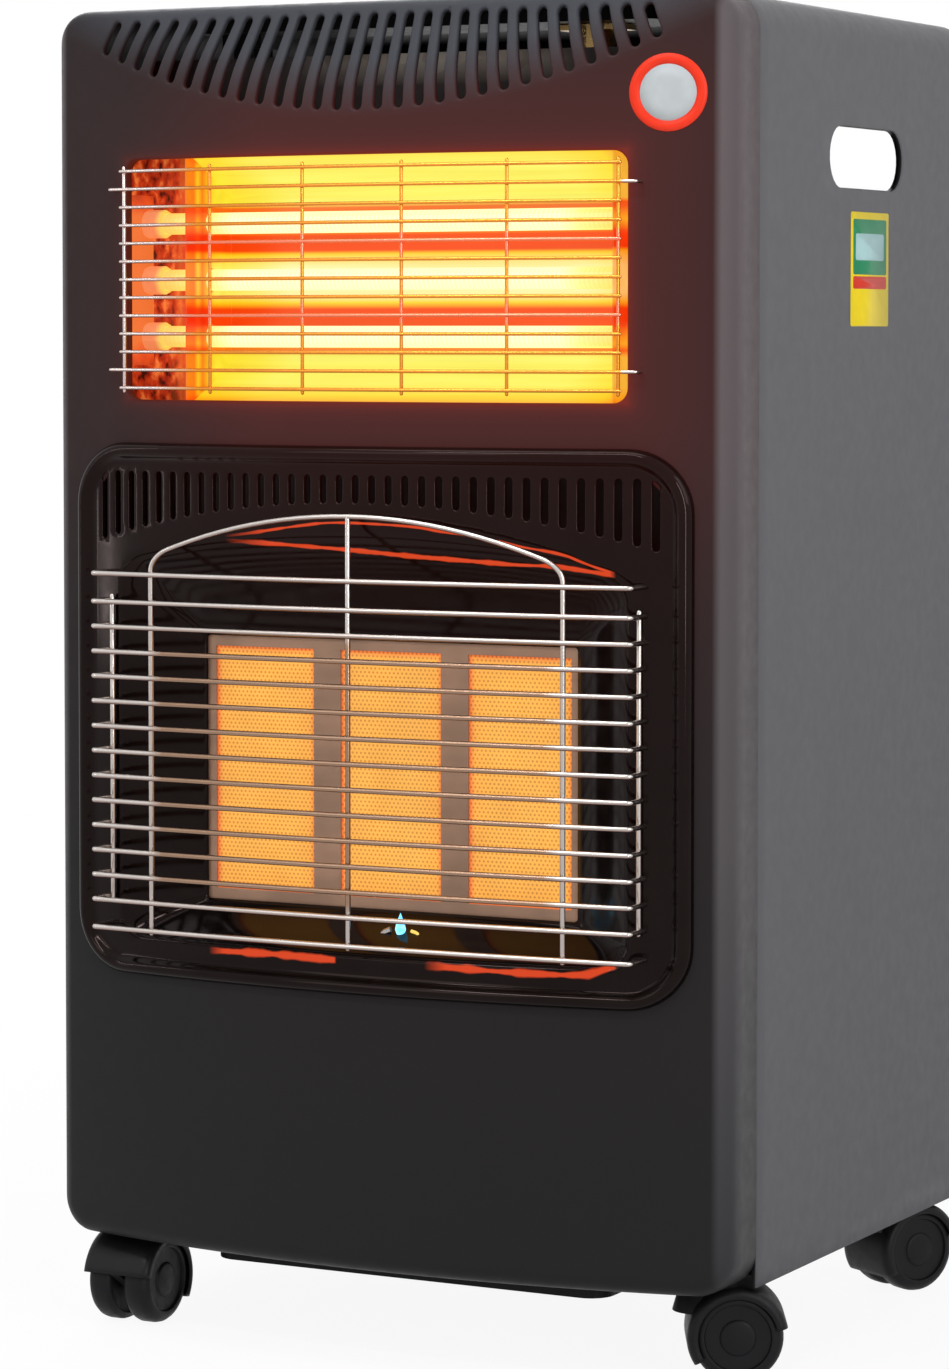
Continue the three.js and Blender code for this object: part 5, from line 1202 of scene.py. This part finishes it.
def burner_surround():
    sheet = Sheet()
    ribs = rib_segments()
    rib_loops = rolled_slots(sheet, land_y, ribs, RIB_HALF, RIB_ROLL, RIB_WALL, along=6, steps=4)
    land = grown(SURROUND, -LAND_INSET)
    recess = rounded(*RECESS, **DENSE)
    recess[:, 1] += np.where(recess[:, 1] > RECESS_MIDDLE, crown_rise(recess[:, 0]), 0)

    def inside(u, v):
        arch = np.where(v > RECESS_MIDDLE, crown_rise(u), 0)
        opening = rect_distance(u, v - arch, *RECESS)
        slots = from_slots(u, v, ribs, RIB_HALF + RIB_ROLL)
        return np.minimum.reduce([-rect_distance(u, v, *land), opening, slots])

    u, v = grid_over(*land[:4], 3.0)
    loops = [surround_outline(LAND_INSET), recess, *rib_loops]
    sheet.patch(loops, u, v, inside, functools.partial(on_surface, land_y), 1.0)
    # the bead round the outside, from the panel over its crest down to the land: (inset, proud)
    rise = [(0, -0.3), (0.1, 1.6), (0.6, 3.3), (1.7, 4.9), (3.1, 5.8), (4.7, 6.0)]
    fall = [(6.4, 5.5), (7.9, 4.2), (9.2, 2.6), (10.5, 1.75), (LAND_INSET, LAND)]
    bead_loops = []
    for inset, proud in rise + fall:
        loop = surround_outline(inset)
        bead_loops.append(upright(loop, face(loop[:, 0]) - proud))
    sheet.rings(bead_loops)
    # the recess: a rolled lip, then walls that ease into the throat round the burner
    lip = on_surface(land_y, recess)
    throat = upright(rounded(*grown(PLAQUE_FRAME, -1), **DENSE), FRAME_Y - 1.5)
    walls = [lip]
    steps = 14
    for t in (k / steps for k in range(1, steps + 1)):
        ease = t * 0.55 + 0.45 * t * t * (3 - 2 * t)
        wall = lip * (1 - t) + throat * t
        roll = RECESS_ROLL * math.exp(-t * 9) * (1 - math.exp(-t * 40))
        wall[:, 1] = lip[:, 1] * (1 - ease) + throat[:, 1] * ease - roll * 0.4
        walls.append(wall)
    sheet.rings(walls)
    outward = (0, -BOW, 218), (0, -1, 0)
    name, nodes = "enamelled_surround", ["burner_surround"]
    mesh_piece(name, sheet, ENAMEL, nodes, outward=outward, thickness=SHEET * 0.8)


# ---------------------------------------------------------------- wire guards


def lower_row(i):
    """Height of a wire of the lower guard: the outermost two at each end have a pitch of their own."""
    if i == 0:
        return LOWER_BOTTOM
    if i == LOWER_ROWS - 1:
        return LOWER_TOP
    inner = LOWER_TOP - LOWER_BOTTOM - 2 * LOWER_END_PITCH
    return LOWER_BOTTOM + LOWER_END_PITCH + inner * (i - 1) / (LOWER_ROWS - 3)


def lower_y(x):
    return LOWER_STAND - LOWER_BULGE * (1 - (x / LOWER_LEG_X) ** 2)


def bowed(z, half, depth, root, bend):
    """A bowed wire across the front whose two ends turn back to the sheet."""
    middle = [(x, depth(x), z) for x in np.linspace(-half + bend, half - bend, 31)]
    start = rounded_path([(-half, root, z), (-half, depth(half), z), middle[0]], bend)
    end = rounded_path([middle[-1], (half, depth(half), z), (half, root, z)], bend)
    return start + [Vector(p) for p in middle[1:-1]] + end


def lower_guard():
    sheet = Sheet()

    def wire(path):
        tube(sheet, path, LOWER_WIRE, 12)

    land = float(face(LOWER_LEG_X)) - LAND
    for i in range(LOWER_ROWS):
        root = land + 5 if i in LOWER_LEG_ROWS else land - 0.3
        wire(bowed(lower_row(i), LOWER_LEG_X, lower_y, root, LOWER_BEND))
    behind = 2 * LOWER_WIRE - 0.5
    foot = LOWER_BOTTOM - LOWER_WIRE
    middle_y = lower_y(0) + behind
    wire([(0, middle_y, foot), (0, middle_y, ARCH_TOP)])
    for side in (-1, 1):
        x = side * (LOWER_LEG_X - behind)
        wire([(x, land - 3, lower_row(1) - 2), (x, land - 3, lower_row(LOWER_ROWS - 2) + 2)])
    leg_y = lower_y(ARCH_HALF) + behind
    crown = []
    for x in np.linspace(-ARCH_HALF + 7, ARCH_HALF - 7, 25):
        rise = (ARCH_TOP - ARCH_SHOULDER) * (1 - (x / ARCH_HALF) ** 2)
        crown.append((x, lower_y(x) + behind, ARCH_SHOULDER + rise))
    left = [(-ARCH_HALF, leg_y, foot), (-ARCH_HALF, leg_y, ARCH_SHOULDER - 4), crown[0]]
    right = [crown[-1], (ARCH_HALF, leg_y, ARCH_SHOULDER - 4), (ARCH_HALF, leg_y, foot)]
    start = rounded_path([*left, crown[1]], ARCH_BEND)[:-1]
    end = rounded_path([crown[-2], *right], ARCH_BEND)[1:]
    wire(start + [Vector(p) for p in crown[1:-1]] + end)
    mesh_piece("burner_wire_guard", sheet, CHROME, ["lower_guard"])


def upper_row(i):
    return WINDOW_Z + (i - (UPPER_ROWS - 1) / 2) * UPPER_PITCH


def upper_y(x):
    return float(face(x)) - UPPER_STAND


def upper_guard():
    sheet = Sheet()
    root = float(face(UPPER_LEG_X)) + 3.5
    for i in range(UPPER_ROWS):
        z = upper_row(i)
        if i in UPPER_LEG_ROWS:
            path = bowed(z, UPPER_LEG_X, upper_y, root, UPPER_BEND)
        else:
            path = [(x, upper_y(x), z) for x in np.linspace(-UPPER_HALF, UPPER_HALF, 31)]
        tube(sheet, path, UPPER_WIRE)
    for i in range(UPPER_BARS):
        x = UPPER_BAR_HALF * (2 * i / (UPPER_BARS - 1) - 1)
        y = upper_y(x) + 2 * UPPER_WIRE - 0.4
        tube(sheet, [(x, y, upper_row(0) - 2), (x, y, upper_row(UPPER_ROWS - 1) + 2)], UPPER_WIRE)
    mesh_piece("window_wire_guard", sheet, WINDOW_WIRE, ["upper_guard"])


# ---------------------------------------------------------------- castors


def drawn(point):
    """A point of the record frame, in metres, as drawing-frame millimetres."""
    return point / MM - Vector((0, DRAWING_Y, 0))


JOINT_PLACES = {j["child"]: drawn(Vector(j["pos_m"])) for j in frame["joints"] if "pos_m" in j}


def wheel_radius(name):
    low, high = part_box(name)
    return (high.z - low.z) / MM / 2


def wheel(name):
    """A moulded wheel: rounded tread, and a dished outer side with a cap over the axle."""
    low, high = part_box(name)
    joint = next(j for j in frame["joints"] if j["child"] == name)
    radius = wheel_radius(name)
    middle = JOINT_PLACES[name]
    outward = Vector(joint["axis"]).normalized()
    if (drawn((low + high) / 2) - middle).dot(outward) < 0:
        outward = -outward
    inner = -WHEEL_HALF
    outer = WHEEL_HALF + WHEEL_EXTRA
    back = [(3.2, inner + 1), (8, inner + 1), (8.6, inner + 1.6)]
    tread = [(5, inner + 1.4), (3.5, inner), (0.8, inner + 1), (0, inner + 3)]
    tread += [(0, outer - 6), (0.6, outer - 3.4), (2, outer - 1.5)]
    rim = [(4, outer - 0.4), (5.5, outer), (6.6, outer - 0.3), (7.2, outer - 1.8)]
    cap = [(10, outer - 2), (9.4, outer - 1.2), (8.4, outer - 0.9), (0.5, outer - 0.7)]
    profile = back + [(radius - below, across) for below, across in tread + rim] + cap
    sheet = Sheet()
    lathe(sheet, profile, middle + outward * WHEEL_CENTRE, outward)
    mesh_piece(name.replace("wheel", "moulded_wheel"), sheet, TYRE, [name], body=name)


def castor_hood(name):
    """A moulded cover with round shoulders over both wheels, the web between them and a boss."""
    castor = name.removesuffix("_hood")
    middle = JOINT_PLACES[castor + "_wheel_a"]
    stem = JOINT_PLACES[castor]
    up = Vector((0, 0, 1))
    back = Vector((middle.x - stem.x, middle.y - stem.y, 0)).normalized()
    axle = back.cross(up)

    def spot(angle, r, across):
        return tuple(middle + (back * math.cos(angle) + up * math.sin(angle)) * r + axle * across)

    outer = wheel_radius(castor + "_wheel_a") + HOOD_RISE
    shoulder = [(outer - 6, 0), (outer - 3, 0.3), (outer - 1.2, 1.5), (outer - 0.3, 3.4), (outer, 6)]
    profile = [(r, HOOD_HALF - inset) for r, inset in shoulder]
    profile += [(r, -across) for r, across in reversed(profile)]
    angles = np.radians(np.linspace(*HOOD_SPAN, 40))
    cover = Sheet()
    cover.rings([[spot(angle, r, across) for r, across in profile] for angle in angles], closed=False)
    crown = ((middle.x, middle.y, middle.z + outer), up)
    mesh_piece(castor + "_cover", cover, BLACK_PLASTIC, [name], castor, crown, HOOD_WALL)
    web = Sheet()
    corners = [(angle, outer - 0.8) for angle in angles]
    corners += [(math.radians(foot), 9.5) for foot in (252, 288)]
    sides = (-HOOD_WEB / 2, HOOD_WEB / 2)
    web.solid([[spot(angle, r, across) for angle, r in corners] for across in sides])
    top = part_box(name)[1].z / MM
    boss = [(6, middle.z + 10), (15, middle.z + 12), (13, middle.z + 19), (10, middle.z + 25), (9.5, top)]
    lathe(web, boss, (stem.x, stem.y, 0), up)
    mesh_piece(castor + "_web", web, BLACK_PLASTIC, body=castor)


# ---------------------------------------------------------------- small pieces


def window_end_sheets():
    """The sheet behind each bracket, which closes the window's ends up to the reflector."""
    for name, side, inner in (("window_end_left", -1, 119), ("window_end_right", 1, 146)):
        sheet = Sheet()
        xs = np.linspace(inner, END_SHEET_REACH, 16) * side
        zs = np.linspace(WINDOW_Z - END_SHEET_HALF, WINDOW_Z + END_SHEET_HALF, 30)

        def dented(x, z):
            return x, END_SHEET_Y + 0.7 * math.sin(x * 0.9) * math.sin(z * 0.31), z

        sheet.rings([[dented(x, z) for x in xs] for z in zs], closed=False)
        outward = (side * 150, END_SHEET_Y, WINDOW_Z), (0, -1, 0)
        mesh_piece(name, sheet, SCORCHED_PAINTED_GLOW, outward=outward, thickness=0.6)


def roundel():
    """A plain ring round a plain disc on the bowed front."""
    grey = badge("roundel_grey", (0.45, 0.48, 0.49))
    red = badge("roundel_red", (0.78, 0.04, 0.015))
    x, z = ROUNDEL
    for name, radii, proud, material in (
        ("roundel_disc", (2, 8, 15.6), 0.25, grey),
        ("roundel_ring", (15, 18, 20.6), 0.3, red),
    ):
        sheet = Sheet()
        circles = [arc(x, z, radius, 0, 2 * math.pi, 49)[:-1] for radius in radii]
        ids = sheet.rings([on_surface(panel_y, circle, -proud) for circle in circles])
        if name == "roundel_disc":
            sheet.cap(ids[0])
        mesh_piece(name, sheet, material, outward=((x, -BOW, z), (0, -1, 0)), thickness=FOIL)


def side_label():
    """Plain bands of colour on the right side: (y0, y1, z0, z1), height off the side and colour."""
    bands = {
        "label_ground": ((168, 223.5, 572, 636), 0.15, (0.82, 0.62, 0.02)),
        "label_green": ((171.5, 220, 601, 632), 0.25, (0.03, 0.24, 0.11)),
        "label_red": ((171.5, 220, 593, 600), 0.25, (0.65, 0.05, 0.03)),
        "label_pale": ((175, 216, 609, 624), 0.32, (0.4, 0.6, 0.6)),
    }
    for name, (box, proud, colour) in bands.items():
        x = HALF_WIDTH + proud
        sheet = Sheet()
        sheet.cap(sheet.add([(x, y, z) for y, z in rounded(*box, 1.5, along=4, up=4, bend=5)]))
        outward = (x, (box[0] + box[1]) / 2, (box[2] + box[3]) / 2), (1, 0, 0)
        mesh_piece(name, sheet, badge(name, colour), outward=outward, thickness=FOIL)


def pilot_light():
    sheet = Sheet()
    lathe(sheet, [(0.2, 0), (2.2, 1.5), (3.0, 4), (2.4, 7), (1.2, 10), (0.1, 13)], PILOT_TIP, (0, 0, 1), 16)
    mesh_piece("pilot_flame", sheet, flame())


# ---------------------------------------------------------------- stage, lights and camera


def build_stage():
    """A round pale floor that turns to plain white away from the object, but keeps its shadow."""
    mesh = bpy.data.meshes.new("floor")
    work = bmesh.new()
    bmesh.ops.create_circle(work, cap_ends=True, segments=96, radius=9)
    work.to_mesh(mesh)
    work.free()
    floor = bpy.data.objects.new("floor", mesh)
    bpy.context.scene.collection.objects.link(floor)
    pale = (0.85, 0.85, 0.85)
    paint = Paint("studio_floor", pale, 0.8, specular=0.0)
    paint.tint(pale, 400, 0.01)
    x, y, _ = paint.axes()
    whiteness = hypot(x, y + DRAWING_Y).range(300, 1100, 0.92, 1.0)
    white = paint.add("ShaderNodeEmission", WHITE, 1.0)
    shaded = Field(paint, paint.shader.outputs[0])
    paint.blend(paint.seen_rays() * whiteness, shaded, white, "Material Output")
    mesh.materials.append(paint.material)


def build_world():
    """White where it is seen or mirrored, and dimmer where it lights the object."""
    world = bpy.data.worlds.new("studio")
    bpy.context.scene.world = world
    world.use_nodes = True
    nodes = Nodes(world.node_tree)
    background = nodes.tree.nodes["Background"]
    nodes.fill(background, {"Color": WHITE, "Strength": 1.0})
    cast = nodes.add("ShaderNodeBackground", (0.95, 0.97, 1.0, 1), 0.3)
    nodes.blend(nodes.seen_rays(), cast, Field(nodes, background.outputs[0]), "World Output")


def softbox(name, place_at, aim, size, power, colour=(1, 1, 1)):
    light = bpy.data.lights.new(name, "AREA")
    light.shape = "RECTANGLE"
    light.size, light.size_y = size
    light.energy = power
    light.color = colour
    lamp = bpy.data.objects.new(name, light)
    lamp.location = place_at
    lamp.rotation_euler = (Vector(aim) - Vector(place_at)).to_track_quat("-Z", "Y").to_euler()
    bpy.context.scene.collection.objects.link(lamp)


def build_lights():
    """Lamps by name, place, aim, size and power, all in metres and watts."""
    softbox("right_softbox", (2.6, -0.3, 1.7), (0.2, 0, 0.5), (1.2, 1.6), 18, (0.97, 0.98, 1.0))
    softbox("front_softbox", (-1.4, -3.0, 2.0), (0, 0, 0.4), (1.4, 1.4), 12)
    softbox("top_softbox", (-0.3, -0.6, 2.6), (0, 0, 0.7), (1.6, 0.9), 18)
    softbox("back_softbox", (-1.6, 2.6, 1.8), (0, 0, 0.4), (1.8, 1.8), 45)
    softbox("high_strip", (-0.2, -1.9, 2.3), (0, 0, 0.4), (1.6, 0.16), 22)
    softbox("side_strip", (-2.2, -1.5, 1.0), (0, 0, 0.45), (0.05, 1.6), 3)
    softbox("right_strip", (2.3, -1.7, 1.0), (0, 0, 0.45), (0.18, 1.6), 24)


def build_camera():
    """The photograph's viewpoint, solved from the cabinet's edges."""
    data = bpy.data.cameras.new("camera")
    data.sensor_width = 36
    data.lens = 118.04
    data.shift_x = 0.0102
    data.shift_y = -0.088
    camera = bpy.data.objects.new("camera", data)
    camera.location = (1.17630, -2.17630 + (DRAWING_Y * MM) + 0.01735, 0.56904)
    camera.rotation_euler = Vector((-0.46124, 0.88577, -0.05171)).to_track_quat("-Z", "Y").to_euler()
    bpy.context.scene.collection.objects.link(camera)
    bpy.context.scene.camera = camera


# ---------------------------------------------------------------- assembly

bpy.context.scene.view_settings.view_transform = "Standard"
build_camera()
build_world()
build_lights()
build_stage()
dress_nodes()
front_panel()
body_shell()
burner_surround()
lower_guard()
upper_guard()
window_end_sheets()
for node_name in sorted(frame["nodes"]):
    if "_wheel_" in node_name:
        wheel(node_name)
    if node_name.endswith("_hood"):
        castor_hood(node_name)
roundel()
side_label()
pilot_light()
